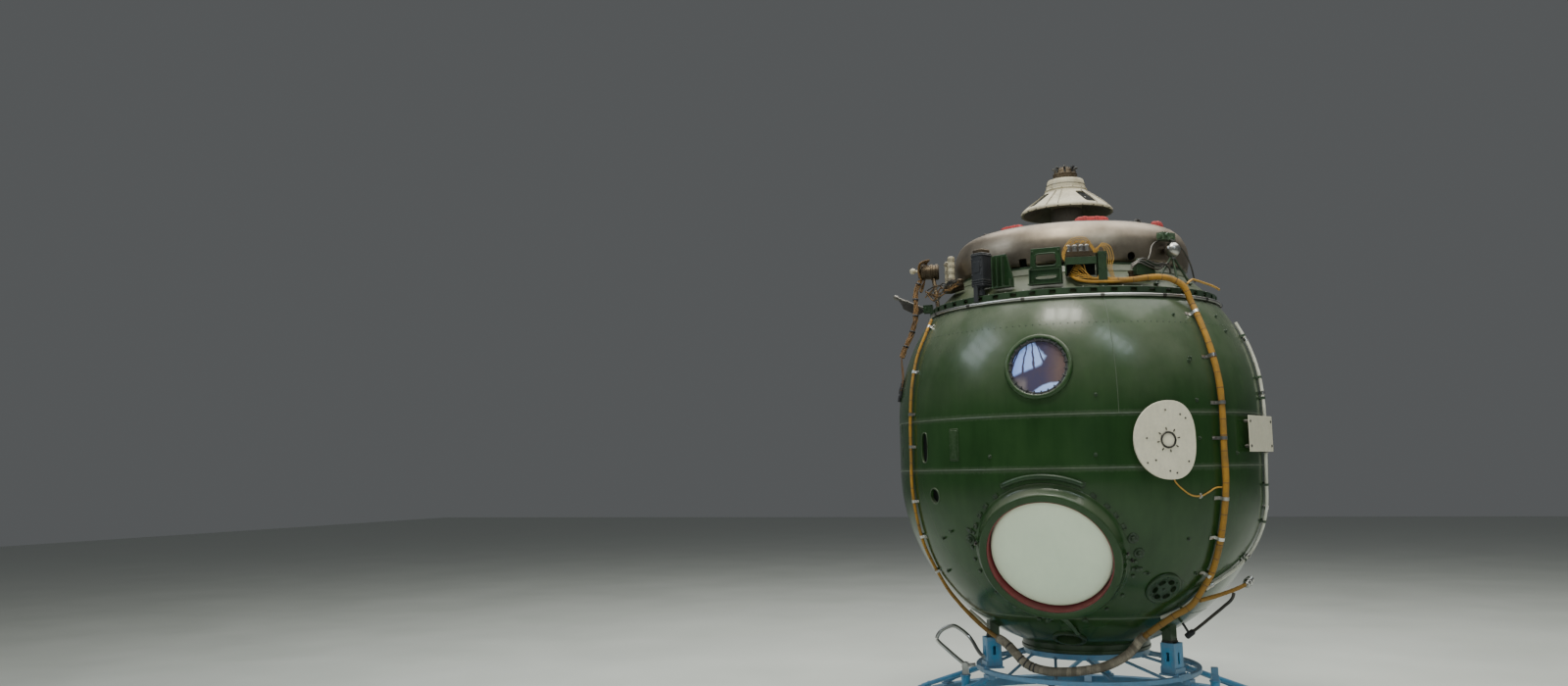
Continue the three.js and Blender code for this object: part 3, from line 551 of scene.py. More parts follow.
# %% Turned metal
# A lathe leaves fine rings: the pattern reads only the distance from the axis and the height.
TURNED, entry, leave = new_group("turned metal", [("Fineness", 900.0)], ["Rings", "Stain"])
place = object_place(TURNED)
flat = stretched(TURNED, place, (1.0, 1.0, 0.0))
distance = TURNED.nodes.new("ShaderNodeVectorMath")
distance.operation = "LENGTH"
feed(TURNED, distance.inputs[0], flat)
height = node(TURNED, "SeparateXYZ", place, out=2)
ring_place = node(TURNED, "CombineXYZ", distance.outputs["Value"], height, 0.0)
feed(TURNED, leave["Rings"], noise(TURNED, ring_place, entry["Fineness"], 3.0, 0.7))
feed(TURNED, leave["Stain"], spread(TURNED, noise(TURNED, place, 4.5, 5.0, 0.6), 0.35, 0.7))

# %% Woven wrap
# Cloth sleeve on a harness: two crossing sets of threads, from the hose's own UV.
WOVEN, entry, leave = new_group("woven wrap", [("Around", 26.0), ("Along", 420.0)], ["Thread", "Grime"])
uv = WOVEN.nodes.new("ShaderNodeUVMap").outputs[0]
across = node(WOVEN, "SeparateXYZ", uv, out=0)
length = node(WOVEN, "SeparateXYZ", uv, out=1)
turns = times(WOVEN, across, times(WOVEN, entry["Around"], 2 * math.pi))
march = times(WOVEN, length, entry["Along"])
one_way = maths(WOVEN, "SINE", plus(WOVEN, turns, march))
other_way = maths(WOVEN, "SINE", maths(WOVEN, "SUBTRACT", turns, march))
feed(WOVEN, leave["Thread"], spread(WOVEN, maths(WOVEN, "MAXIMUM", one_way, other_way), -0.6, 1.0))
feed(WOVEN, leave["Grime"], spread(WOVEN, noise(WOVEN, object_place(WOVEN), 9.0, 5.0, 0.65), 0.4, 0.75))

# %% Wound tape
# Tape wound on a slant: a saw tooth along the cable that turns with the angle, one tone for each turn.
TAPE, entry, leave = new_group("wound tape", [("Pitch", 38.0)], ["Lap", "Tone", "Grime"])
uv = TAPE.nodes.new("ShaderNodeUVMap").outputs[0]
across = node(TAPE, "SeparateXYZ", uv, out=0)
length = node(TAPE, "SeparateXYZ", uv, out=1)
winding = plus(TAPE, times(TAPE, length, entry["Pitch"]), across)
feed(TAPE, leave["Lap"], maths(TAPE, "FRACT", winding))
layer = node(TAPE, "TexWhiteNoise", None, maths(TAPE, "FLOOR", winding), noise_dimensions="1D")
feed(TAPE, leave["Tone"], layer)
feed(TAPE, leave["Grime"], spread(TAPE, noise(TAPE, object_place(TAPE), 14.0, 5.0, 0.7), 0.35, 0.7))


# %% Finishes made from the groups
def new_finish(name):
    """An empty material: its tree, its shader and the material."""
    material = bpy.data.materials.new(name)
    material.use_nodes = True
    tree = material.node_tree
    shader = tree.nodes["Principled BSDF"]
    return material, tree, shader


def bumped(tree, socket, height, strength, distance=0.001):
    """Feeds a bump of that height to a normal socket, and returns the bump's own normal socket."""
    made = tree.nodes.new("ShaderNodeBump")
    made.inputs["Strength"].default_value = strength
    made.inputs["Distance"].default_value = distance
    feed(tree, made.inputs["Height"], height)
    feed(tree, socket, made.outputs[0])
    return made.inputs["Normal"]


def rgb(red, green, blue):
    return (red, green, blue, 1.0)


DUST_AND_TOP_LIGHT_TONE = (0.42, 0.4, 0.33)


def enamel(
    name, light, dark, rough, coat=0.0, dust=0.2, wear=0.3, scratches=0.2, bare=(0.35, 0.34, 0.31),
    scale=3.0, peel=0.06, dent=0.0, shine=0.5
):
    """Painted metal: clouded between two tones, paler on top with dust and painted top light, worn to a bare
    tone at the edges.
    """
    material, tree, shader = new_finish(name)
    mottle = use_group(tree, MOTTLE, scale, 240.0)
    dust_and_top_light_mask = use_group(tree, DUST_AND_TOP_LIGHT, dust, min(6.0, 1.5 * scale))["Dust"]
    worn = use_group(tree, WEAR, wear, scratches)["Worn"]
    colour = blended(tree, mottle["Clouds"], rgb(*dark), rgb(*light))
    colour = blended(tree, dust_and_top_light_mask, colour, rgb(*DUST_AND_TOP_LIGHT_TONE))
    colour = blended(tree, worn, colour, rgb(*bare))
    feed(tree, shader.inputs["Base Color"], colour)
    roughness = plus(
        tree, spread(tree, mottle["Clouds"], 0.0, 1.0, rough + 0.05, rough - 0.03), times(tree, dust_and_top_light_mask, 0.4)
    )
    feed(tree, shader.inputs["Roughness"], roughness)
    shader.inputs["Coat Weight"].default_value = coat
    shader.inputs["Coat Roughness"].default_value = 0.08
    shader.inputs["Specular IOR Level"].default_value = shine
    under = bumped(tree, shader.inputs["Normal"], mottle["Peel"], peel)
    if dent:
        bumped(tree, under, noise(tree, object_place(tree), 3.4, 2.0, 0.5), dent, 0.012)
    return material


def turned_metal(name, light, dark, rough, metal=1.0, bump=0.12):
    """Bare turned metal: lathe rings in its roughness, and stains in its colour."""
    material, tree, shader = new_finish(name)
    marks = use_group(tree, TURNED, 700.0)
    feed(tree, shader.inputs["Base Color"], blended(tree, marks["Stain"], rgb(*dark), rgb(*light)))
    feed(
        tree, shader.inputs["Roughness"], spread(tree, marks["Rings"], 0.2, 0.8, rough - 0.08, rough + 0.12)
    )
    shader.inputs["Metallic"].default_value = metal
    bumped(tree, shader.inputs["Normal"], marks["Rings"], bump, 0.0005)
    return material


EVEN_ABOVE, DARKEST_BELOW = 1.3, 0.62


def woven(name, light, dark, grime, around=26.0, along=420.0, rough=0.75):
    """A cloth sleeve: threads in the bump and the colour, grime in patches, and darker towards the bottom."""
    material, tree, shader = new_finish(name)
    cloth = use_group(tree, WOVEN, around, along)
    colour = blended(tree, cloth["Thread"], rgb(*dark), rgb(*light))
    height = node(tree, "SeparateXYZ", object_place(tree), out=2)
    # Darker towards the bottom, between the two heights.
    low = spread(tree, height, EVEN_ABOVE, DARKEST_BELOW, 0.0, 0.75)
    grime_and_low_darkening = maths(tree, "MAXIMUM", times(tree, cloth["Grime"], 0.85), low)
    colour = blended(tree, grime_and_low_darkening, colour, rgb(*grime))
    feed(tree, shader.inputs["Base Color"], colour)
    shader.inputs["Roughness"].default_value = rough
    bumped(tree, shader.inputs["Normal"], cloth["Thread"], 0.5, 0.0012)
    return material


def wound(name, light, dark, grime, pitch=38.0, rough=0.7):
    """Wound tape: each lap a little lighter or darker, with a step at its edge and painted shade along that
    step.
    """
    material, tree, shader = new_finish(name)
    tape = use_group(tree, TAPE, pitch)
    colour = blended(tree, tape["Tone"], rgb(*dark), rgb(*light))
    colour = blended(tree, tape["Grime"], colour, rgb(*grime))
    # Painted shade along the step where each lap overlaps the last.
    edge = spread(tree, tape["Lap"], 0.0, 0.12, 0.65, 0.0)
    colour = blended(tree, edge, colour, rgb(*[c * 0.4 for c in dark]))
    feed(tree, shader.inputs["Base Color"], colour)
    feed(tree, shader.inputs["Roughness"], spread(tree, tape["Tone"], 0.0, 1.0, rough - 0.1, rough + 0.1))
    bumped(tree, shader.inputs["Normal"], tape["Lap"], 0.6, 0.002)
    return material


# The hull's large dust amount also paints its top paler, as the ceiling's light falls there.
HULL_GREEN = enamel(
    "hull_green", (0.024, 0.062, 0.018), (0.011, 0.038, 0.009), 0.19, coat=0.08, dust=0.5, wear=0.1,
    scratches=0.06, scale=2.0, dent=0.4, shine=0.32
)
WELD_GREEN = enamel(
    "weld_green", (0.042, 0.08, 0.032), (0.022, 0.052, 0.018), 0.35, coat=0.1, dust=0.3, wear=0.15
)
PART_GREEN = enamel(
    "part_green", (0.019, 0.052, 0.017), (0.007, 0.024, 0.008), 0.34, coat=0.1, dust=0.12, wear=0.05,
    scratches=0.15, scale=6.0, shine=0.35
)
DECK_GREEN = enamel(
    "deck_green", (0.07, 0.092, 0.04), (0.034, 0.048, 0.022), 0.42, coat=0.03, dust=0.1, wear=0.08,
    scratches=0.25, scale=5.0
)
CREAM = enamel(
    "cream_enamel", (0.6, 0.54, 0.38), (0.32, 0.275, 0.175), 0.42, dust=0.35, wear=0.8, scratches=0.6,
    bare=(0.16, 0.14, 0.11), scale=8.0
)
PIPE_PAINT = enamel(
    "pipe_paint", (0.62, 0.62, 0.53), (0.4, 0.4, 0.32), 0.35, coat=0.2, dust=0.3, wear=0.5, scratches=0.4,
    bare=(0.12, 0.13, 0.09), scale=9.0
)
PALE = enamel(
    "pale_cover", (0.76, 0.88, 0.68), (0.7, 0.82, 0.63), 0.4, dust=0.08, wear=0.05, scratches=0.05,
    scale=4.0, peel=0.03
)
WHITE = enamel(
    "white_plate", (0.84, 0.79, 0.61), (0.7, 0.66, 0.49), 0.45, dust=0.1, wear=0.3, scratches=0.2, scale=7.0
)
SEAT_RED = enamel(
    "seat_red", (0.24, 0.014, 0.024), (0.15, 0.01, 0.015), 0.45, dust=0.1, wear=0.05, scratches=0.05,
    scale=9.0
)
BLUE = enamel(
    "stand_blue", (0.085, 0.33, 0.56), (0.045, 0.24, 0.44), 0.36, coat=0.15, dust=0.25, wear=0.45,
    scratches=0.3, bare=(0.22, 0.22, 0.22), scale=5.0
)
BLACK = enamel(
    "black_case", (0.03, 0.031, 0.034), (0.014, 0.015, 0.017), 0.42, dust=0.15, wear=0.14, scratches=0.3,
    bare=(0.1, 0.1, 0.11), scale=12.0, peel=0.25
)
# A near-black finish that paints the shade in holes, pockets, slots and cavities.
PAINTED_SHADE_BLACK = enamel(
    "hollow_black", (0.01, 0.011, 0.01), (0.004, 0.005, 0.004), 0.7, dust=0.0, wear=0.0, scratches=0.0,
    shine=0.12
)
RING_METAL = turned_metal("ring_metal", (0.36, 0.305, 0.24), (0.19, 0.158, 0.12), 0.46, bump=0.06)
STEEL = turned_metal("steel", (0.62, 0.61, 0.59), (0.4, 0.39, 0.37), 0.32)
EDGE_GREEN = enamel(
    "edge_green", (0.05, 0.1, 0.045), (0.022, 0.05, 0.02), 0.32, coat=0.1, dust=0.12, wear=0.12,
    scratches=0.25, scale=7.0
)
# A dark brown that paints the shade under the cone and inside its neck.
PAINTED_SHADE_BROWN = enamel(
    "brown_paint", (0.085, 0.066, 0.04), (0.036, 0.029, 0.018), 0.55, dust=0.1, wear=0.3, scratches=0.3,
    scale=9.0
)
BRONZE = turned_metal("bronze", (0.15, 0.108, 0.06), (0.06, 0.046, 0.032), 0.48, metal=0.75)
DARK_STEEL = turned_metal("dark_steel", (0.2, 0.19, 0.17), (0.09, 0.085, 0.08), 0.42)
HARNESS = woven("harness_wrap", (0.48, 0.25, 0.026), (0.24, 0.11, 0.012), (0.135, 0.085, 0.03))
OLD_WIRE = woven(
    "old_wire_wrap", (0.26, 0.135, 0.035), (0.11, 0.06, 0.022), (0.05, 0.035, 0.02), around=10.0,
    along=500.0
)
THIN_WIRE = woven(
    "wire_wrap", (0.66, 0.38, 0.07), (0.42, 0.21, 0.03), (0.25, 0.15, 0.05), around=10.0, along=700.0
)
BROWN = woven("brown_wrap", (0.22, 0.12, 0.055), (0.1, 0.052, 0.024), (0.05, 0.035, 0.02))
TAPED = wound("taped_cable", (0.4, 0.35, 0.27), (0.17, 0.15, 0.11), (0.1, 0.085, 0.06))
SLEEVE = woven(
    "white_sleeve", (0.6, 0.6, 0.5), (0.42, 0.42, 0.34), (0.3, 0.3, 0.24), around=8.0, along=260.0,
    rough=0.5
)
LEAD_RUBBER = wound(
    "lead_rubber", (0.035, 0.033, 0.032), (0.018, 0.017, 0.016), (0.05, 0.042, 0.03), pitch=60.0, rough=0.5
)


def painted_reflection_pane():
    """A coated pane painted with a reflection of a hall, which also glows: a bright window with fanned dark
    bars, and a bright arc low down.

    Painted reflections of violet and brown walls lie between them. U and V run from -1 to 1 across the pane.
    """
    material, tree, shader = new_finish("porthole_glass")
    place = tree.nodes.new("ShaderNodeUVMap").outputs[0]
    wobble = noise(tree, place, 2.2, 2.0, 0.5)
    u, v = (
        plus(tree, node(tree, "SeparateXYZ", place, out=axis), spread(tree, wobble, 0.2, 0.8, -0.05, 0.05))
        for axis in (0, 1)
    )

    def side_of(across, up, limit, blur=0.05):
        """How far a place lies on the near side of the line across u + up v = limit, from 0 to 1."""
        total = plus(tree, times(tree, u, across), times(tree, v, up))
        return spread(tree, total, limit - blur, limit + blur)

    # Painted reflection of a roof window, crossed by fanned dark bars.
    window = maths(
        tree, "MINIMUM", side_of(-0.39, 1.0, 0.045),
        maths(tree, "MINIMUM", side_of(-0.78, -0.62, -0.43), side_of(-0.86, 0.51, -0.01))
    )
    fan = maths(tree, "DIVIDE", plus(tree, u, 0.344), maths(tree, "SUBTRACT", 1.62, v))
    bar = maths(tree, "PINGPONG", plus(tree, fan, 0.357), 0.117)
    window = times(tree, window, spread(tree, bar, 0.014, 0.034))
    # Painted reflection of a bright arc low on the pane.
    far_u, far_v = maths(tree, "SUBTRACT", u, 0.66), plus(tree, v, 1.79)
    reach = maths(tree, "SQRT", plus(tree, times(tree, far_u, far_u), times(tree, far_v, far_v)))
    painted_arc_reflection = spread(tree, reach, 1.27, 1.21)
    # Painted reflections of the hall's violet and brown walls.
    wall = blended(tree, spread(tree, u, 0.15, 0.75), rgb(0.07, 0.062, 0.115), rgb(0.165, 0.11, 0.1))
    wall = blended(
        tree, times(tree, spread(tree, v, -0.3, -0.55), spread(tree, u, -0.35, -0.5)), wall,
        rgb(0.21, 0.18, 0.19)
    )
    wall = blended(
        tree, spread(tree, noise(tree, place, 3.5, 3.0, 0.6), 0.45, 0.75, 0.0, 0.5), wall,
        rgb(0.11, 0.075, 0.085)
    )
    bright = blended(tree, spread(tree, u, -0.9, 0.5), rgb(0.27, 0.42, 0.95), rgb(0.42, 0.58, 0.96))
    painted_reflection_mask = maths(tree, "MAXIMUM", window, painted_arc_reflection)
    colour = blended(tree, painted_reflection_mask, wall, bright)
    colour = blended(tree, side_of(-0.62, 0.78, 0.9, 0.03), colour, rgb(0.01, 0.045, 0.06))
    feed(tree, shader.inputs["Base Color"], colour)
    # The painted reflection also glows.
    feed(tree, shader.inputs["Emission Color"], colour)
    feed(tree, shader.inputs["Emission Strength"], times(tree, painted_reflection_mask, 0.22))
    shader.inputs["Coat Weight"].default_value = 0.6
    shader.inputs["Coat Roughness"].default_value = 0.03
    feed(
        tree, shader.inputs["Roughness"],
        spread(tree, noise(tree, object_place(tree), 11.0, 4.0, 0.6), 0.4, 0.8, 0.08, 0.2)
    )
    return material


PAINTED_REFLECTION_GLASS = painted_reflection_pane()
print("finishes:", len(bpy.data.materials), "groups:", len(bpy.data.node_groups))

# %% [markdown]
# ## Cords that hang free
#
# The thick taped cable joins the two harnesses below the hull, and a black lead hangs from a connector
# on the right. Both keep the route and length of their CAD solids. They are drawn first, because their
# room decides where other things may go.

# %% Routes along the hull
# Each row is an azimuth, a lift along the hull's normal and a height.
MAIN_HELD = [
    [55.1, 0.028, 2.48], [54.5, 0.026, 2.405], [53.9, 0.026, 2.23], [53.9, 0.026, 2.04],
    [53.8, 0.026, 1.85], [53.6, 0.026, 1.67], [53.8, 0.026, 1.49], [54.0, 0.026, 1.33], [54.8, 0.026, 1.16],
    [55.8, 0.028, 1.01], [54.6, 0.036, 0.925], [53.1, 0.048, 0.855], [50.6, 0.049, 0.818],
    [47.8, 0.047, 0.792], [44.7, 0.046, 0.748], [42.1, 0.047, 0.712], [39.9, 0.051, 0.675]
]
LEFT_HELD = [
    [-55.6, 0.018, 2.495], [-53.0, 0.016, 2.41], [-51.9, 0.016, 2.26], [-50.2, 0.016, 2.08],
    [-49.6, 0.016, 1.88], [-49.9, 0.016, 1.67], [-50.3, 0.016, 1.47], [-51.3, 0.016, 1.28],
    [-53.4, 0.016, 1.11], [-57.0, 0.018, 0.9], [-58.6, 0.026, 0.8], [-57.6, 0.036, 0.74],
    [-55.4, 0.046, 0.706], [-52.4, 0.056, 0.682], [-48.6, 0.066, 0.667], [-44.8, 0.075, 0.66],
    [-41.0, 0.083, 0.655]
]
PIPE_HELD = [
    [86.0, 0.018, 2.41], [84.6, 0.018, 2.27], [83.0, 0.018, 2.11], [81.3, 0.016, 1.94], [80.8, 0.016, 1.76],
    [79.4, 0.016, 1.61], [79.4, 0.016, 1.48], [83.0, 0.016, 1.34], [85.0, 0.016, 1.21], [80.0, 0.016, 1.09],
    [72.0, 0.016, 1.011], [66.2, 0.016, 0.968], [61.7, 0.016, 0.936], [58.5, 0.016, 0.9],
    [55.4, 0.016, 0.853], [52.4, 0.016, 0.802], [48.2, 0.014, 0.77], [44.5, 0.014, 0.75]
]


def held(route):
    """Points over the hull from rows of azimuth, lift and height."""
    azimuth, lift, height = np.array(route).T
    places = on_hull(azimuth, height)
    return places[:, :3, 3] + places[:, :3, 2] * lift[:, None]


def past(points, distance):
    """The point that far beyond a route's last point, straight on."""
    return points[-1] + distance * unit(points[-1] - points[-2])


MAIN_POINTS, LEFT_POINTS, PIPE_POINTS = held(MAIN_HELD), held(LEFT_HELD), held(PIPE_HELD)

# %% The cords
CABLE_ROUTE = np.vstack([past(MAIN_POINTS, 0.001), past(MAIN_POINTS, 0.04), polar_rows([
    [36.7, 0.609, 0.572], [31.9, 0.603, 0.526], [25.8, 0.6, 0.491], [18.9, 0.6, 0.463], [10.9, 0.6, 0.445],
    [1.5, 0.6, 0.432], [-7.5, 0.6, 0.427], [-14.5, 0.6, 0.431], [-20.6, 0.605, 0.444],
    [-25.6, 0.615, 0.473], [-29.4, 0.625, 0.512], [-33.0, 0.632, 0.546]
]), past(LEFT_POINTS, 0.045), past(LEFT_POINTS, 0.002)])
CABLE_RADIUS = 0.026
LEAD_ROUTE = polar_rows([
    [69.5, 0.952, 0.866], [69.5, 0.945, 0.843], [69.6, 0.925, 0.818], [69.8, 0.895, 0.794],
    [70.0, 0.867, 0.771], [70.0, 0.835, 0.745], [70.0, 0.803, 0.719], [70.0, 0.77, 0.692],
    [70.0, 0.735, 0.664], [70.0, 0.701, 0.6375]
])
LEAD_RADIUS = 0.009


def free_cord(name, route, radius, material, node_name, sides):
    """A hose along its route, as long as the route measures, in place of its CAD node."""
    line = smooth_line(route, radius * 0.5)
    piece = make_drawn(name, hose(line, radius, sides, LEAN), material, (node_name,))
    return piece


plug_line = np.linspace(past(LEAD_ROUTE, 0.0005), past(LEAD_ROUTE, 0.058), 48)
plug_run = np.linspace(0, 1, len(plug_line))
# a ribbed grip, thinner where the lead goes in
plug_radius = 0.0165 + 0.0014 * (np.sin(plug_run * 50) > 0.2) - 0.005 * (plug_run < 0.12)
clip_line = np.linspace(past(LEAD_ROUTE, 0.034), polar(70.0, 0.6345, 0.677), 4)
plug_and_clip = hoses(
    hose(plug_line, plug_radius, 24, (1.0, 0.0, 0.0)), hose(clip_line, 0.007, 12, (1.0, 0.0, 0.0))
)
lead_plug = make_drawn("lead_plug", plug_and_clip, BLACK, ("right_plug",))
free_cord("taped_cable", CABLE_ROUTE, CABLE_RADIUS, TAPED, "bottom_cable", 24)
free_cord(
    "hanging_lead", LEAD_ROUTE, LEAD_RADIUS, LEAD_RUBBER, "right_lead", 16,
)

# %% [markdown]
# ## Floor and light
#
# A pale floor and large soft lights stand in for the hall: a broad ceiling light, three roof windows
# whose panes show in the enamel, and a weak light from the front, so that the hull is bright above and
# dark below as in the photograph.


# %% Floor and lights
NORTH = [0.0, 1.0, 0.02]  # each light's long side lies square to it


def add_light(name, place, target, width, height, power, colour=(1.0, 1.0, 1.0)):
    """A rectangular light at a place, turned towards a target."""
    data = bpy.data.lights.new(name, "AREA")
    data.shape = "RECTANGLE"
    data.size, data.size_y, data.energy, data.color = width, height, power, colour
    light = bpy.data.objects.new(name, data)
    bpy.context.scene.collection.objects.link(light)
    back = unit(np.subtract(place, target))
    side = unit(np.cross(NORTH, back))
    light.matrix_world = Matrix(axes_matrix(side, np.cross(back, side), back, place).tolist())
    return light


def add_window(name, place, target, panes, pane, step, height, power, colour):
    """A window in the roof: panes side by side, so that the hull mirrors dark bars between them."""
    middle = (panes - 1) / 2
    side = unit(np.cross(NORTH, np.subtract(place, target)))
    for number in range(panes):
        move = side * (number - middle) * step
        add_light(f"{name}_{number}", place + move, target + move, pane, height, power / panes, colour)


def add_floor():
    material, tree, shader = new_finish("floor_paint")
    place = object_place(tree)
    clouds = noise(tree, place, 0.9, 4.0)
    feed(
        tree, shader.inputs["Base Color"], blended(tree, clouds, rgb(0.62, 0.66, 0.6), rgb(0.72, 0.75, 0.7))
    )
    feed(tree, shader.inputs["Roughness"], spread(tree, clouds, 0.3, 0.7, 0.42, 0.55))
    mesh = bpy.data.meshes.new("floor")
    mesh.from_pydata(
        [(-30, -30, -0.002), (30, -30, -0.002), (30, 30, -0.002), (-30, 30, -0.002)], [], [(0, 1, 2, 3)]
    )
    mesh.materials.append(material)
    floor = bpy.data.objects.new("floor", mesh)
    bpy.context.scene.collection.objects.link(floor)


def add_sky(colour, strength):
    world = bpy.data.worlds.new("hall light")
    world.use_nodes = True
    background = world.node_tree.nodes["Background"]
    background.inputs[0].default_value = rgb(*colour)
    background.inputs[1].default_value = strength
    bpy.context.scene.world = world


add_floor()
add_sky((0.8, 0.84, 0.86), 0.12)
add_light("ceiling", (0.4, 1.4, 8.4), (0, 0, 1.5), 9.0, 7.0, 780.0, (1.0, 0.99, 0.95))
add_window("left_window", (-5.3, -3.2, 6.7), (0, 0, 2.3), 4, 0.46, 0.66, 2.4, 120.0, (0.78, 0.9, 1.0))
add_window("middle_window", (0.1, -3.5, 8.9), (0, 0, 2.3), 3, 0.62, 0.86, 1.1, 320.0, (1.0, 0.98, 0.88))
add_window("right_window", (3.7, -4.4, 7.3), (0, 0, 2.3), 5, 0.34, 0.6, 0.9, 80.0, (0.8, 0.95, 1.0))
fill = add_light("front_fill", (1.5, -9.5, 3.4), (0, 0, 1.8), 6.0, 2.0, 190.0)
fill.visible_glossy = False
print("lights:", len(bpy.data.lights))

# %% [markdown]
# ## Hull
#
# The hull is two pressed hemispheres welded to a short rolled belt, 30 mm thick. Each panel is a turned
# shell with its real openings cut through it. The welds stay as low beads that catch the light.

# %% Hull panels
HATCH_TILT = -26.4
PORTHOLE_TILT = 14.2
HATCH = frames_at(0.0, HATCH_TILT, LOWER, 0.0)
VENT = frames_at(39.0, -36.9, LOWER, 0.0)
LOW_PORT = frames_at(0.0, -62.5, LOWER, 0.0)
PORTHOLES = {
    name: frames_at(azimuth, PORTHOLE_TILT, UPPER, 0.0)
    for name, azimuth in (("front", 0.0), ("rear", 180.0))
}
GAP = 0.0003  # between neighbours, so that no two faces lie in one place


def shell_profile(centre, start, end, steps):
    """Outer arc from start to end, then the inner arc back: both from the same elevations."""
    return arc(HULL, centre, start, end, steps) + arc(HULL - WALL, centre, end, start, max(2, steps // 2))


def hull_panel(name, node_name, profile, holes, material=HULL_GREEN):
    panel = make_piece(name, turned(profile, 192), material, replaces=(node_name,))
    if holes:
        carved(panel, *(placed(disc(radius, 0.8, 1.3, 96), matrix) for radius, matrix in holes))
    print(name, "faces:", len(panel.data.polygons))
    return panel


CAP_SEAM_TILT = -49.56
lower_panel = hull_panel(
    "hull_lower", "lower_shell", shell_profile(LOWER - GAP, 0, CAP_SEAM_TILT, 36),
    [(0.3745, HATCH), (0.087, VENT)]
)
hull_panel(
    "hull_cap", "bottom_cap", shell_profile(LOWER - 2 * GAP, CAP_SEAM_TILT, -72.27, 20), [(0.085, LOW_PORT)]
)
belt_panel = hull_panel(
    "hull_belt", "belt_shell",
    [[HULL - WALL, LOWER], *[[HULL, z] for z in np.linspace(LOWER, UPPER, 15)], [HULL - WALL, UPPER]], []
)
hull_panel(
    "hull_upper", "upper_shell", shell_profile(UPPER + GAP, 0, 38.07, 30),
    [(0.173, place) for place in PORTHOLES.values()]
)
hull_panel(
    "deck_plate", "top_deck", shell_profile(UPPER + 2 * GAP, 38.13, 53.13, 12), [], DECK_GREEN
)

# %% Weld beads
BEAD = 0.0025


def tube_ring(radius, height, size, sides=8):
    """A round bead or tube bent to a ring: a circle of that size turned about the axis."""
    angle = evenly(sides)
    return turned(np.stack([radius + size * np.cos(angle), height + size * np.sin(angle)], -1), 192)


def hull_line(azimuths, heights, lift=0.0, spacing=0.02):
    """Points on the hull's skin through the given azimuths and heights."""
    places = on_hull(np.asarray(azimuths, float), np.asarray(heights, float), lift)[:, :3, 3]
    return smooth_line(places, spacing)


upright_welds = [
    hose(hull_line([azimuth] * 9, np.linspace(1.872, 2.53, 9)), BEAD * 0.8, 6)[0]
    for azimuth in (22.0, 112.0, 202.0, 292.0)
]
belt_welds = [
    hose(hull_line([azimuth] * 3, [1.582, 1.72, 1.868]), BEAD * 0.8, 6)[0] for azimuth in (-62.0, 118.0)
]
cap_height = LOWER + HULL * math.sin(math.radians(CAP_SEAM_TILT))
make_piece(
    "weld_beads",
    together(
        tube_ring(HULL, LOWER, BEAD), tube_ring(HULL, UPPER, BEAD),
        tube_ring(HULL * math.cos(math.radians(CAP_SEAM_TILT)), cap_height, BEAD * 0.8),
        *upright_welds, *belt_welds,
    ),
    WELD_GREEN,
)

# %% Rivets, studs and filled holes on the hull
rivet = disc(0.0042, -0.001, 0.0022, 8, 0.0015)
rivet_azimuths = np.arange(0, 360, 2.25)
stud = together(disc(0.011, -0.002, 0.004, 12, 0.001), disc(0.006, 0.003, 0.014, 6, 0.002))
STUD_PLACES = np.array([
    [45.5, 2.42], [46.0, 2.169], [45.3, 2.152], [68.2, 2.431], [69.0, 2.342], [45.8, 1.936], [15.9, 1.972],
    [-15.1, 1.652], [15.1, 1.65], [46.0, 1.73], [61.0, 1.648], [50.4, 0.995], [43.4, 1.19],
])
BACK_STUDS = np.array(
    [[az, z] for az in (-150, -120, 118, 150, 206) for z in (2.3, 1.96, 1.72, 1.36, 1.06)]
)
make_piece("hull_rivets", together(
    stamped(rivet, on_hull(rivet_azimuths, 2.378)),
    stamped(stud, on_hull(*np.concatenate([STUD_PLACES, BACK_STUDS]).T))
), PART_GREEN)

# %% [markdown]
# ## Side hatch
#
# The crew comes aboard through the side hatch. Its boss is turned, with a smooth foot on the hull. Inside
# it are the red seal seat and the lid, a pressed dish that swings inwards. Around the boss stand the
# lugs of the ground cover, and above it a grab arch.

# %% Small helpers for round fittings
def spun(shape, angles, radius=0.0):
    """Copies of a shape moved out to a radius and turned about Z to each angle."""
    matrices = np.zeros((len(angles), 4, 4))
    matrices[:, 0, 0] = matrices[:, 1, 1] = np.cos(angles)
    matrices[:, 0, 1], matrices[:, 1, 0] = -np.sin(angles), np.sin(angles)
    matrices[:, 2, 2] = matrices[:, 3, 3] = 1
    matrices[:, 0, 3], matrices[:, 1, 3] = radius * np.cos(angles), radius * np.sin(angles)
    return stamped(shape, matrices)


def prism(outline, low, high, edge=0.0):
    """An outline in X and Y made thick from low to high; all of it is seen from its middle."""
    flat = np.asarray(outline, float)
    middle = np.repeat(flat.mean(0)[None], len(flat), 0)
    reach = np.linalg.norm(flat - middle, axis=1, keepdims=True)
    rows = [
        (middle, low), (flat, low), (flat, high - edge),
        (middle + (flat - middle) * (1 - edge / reach), high), (middle, high)
    ]
    points = np.concatenate([np.column_stack([row, np.full(len(flat), height)]) for row, height in rows])
    return points, grid_faces(5, len(flat), False, True)


def rounded(width, height, power=4.0, steps=24):
    """A superellipse: |2x/width|^power + |2y/height|^power = 1."""
    angle = 2 * np.pi * np.arange(steps) / steps
    c, s = np.cos(angle), np.sin(angle)
    return np.stack(
        [width / 2 * np.sign(c) * abs(c) ** (2 / power), height / 2 * np.sign(s) * abs(s) ** (2 / power)],
        -1
    )


def drum_between(start, end, radius, sides=20):
    """A closed drum between two points."""
    along = np.subtract(end, start)
    aside = (1.0, 0.0, 0.0) if abs(along[0]) < 0.8 * np.linalg.norm(along) else (0.0, 0.0, 1.0)
    return hose(np.linspace(start, end, 3), radius, sides, aside)[0]


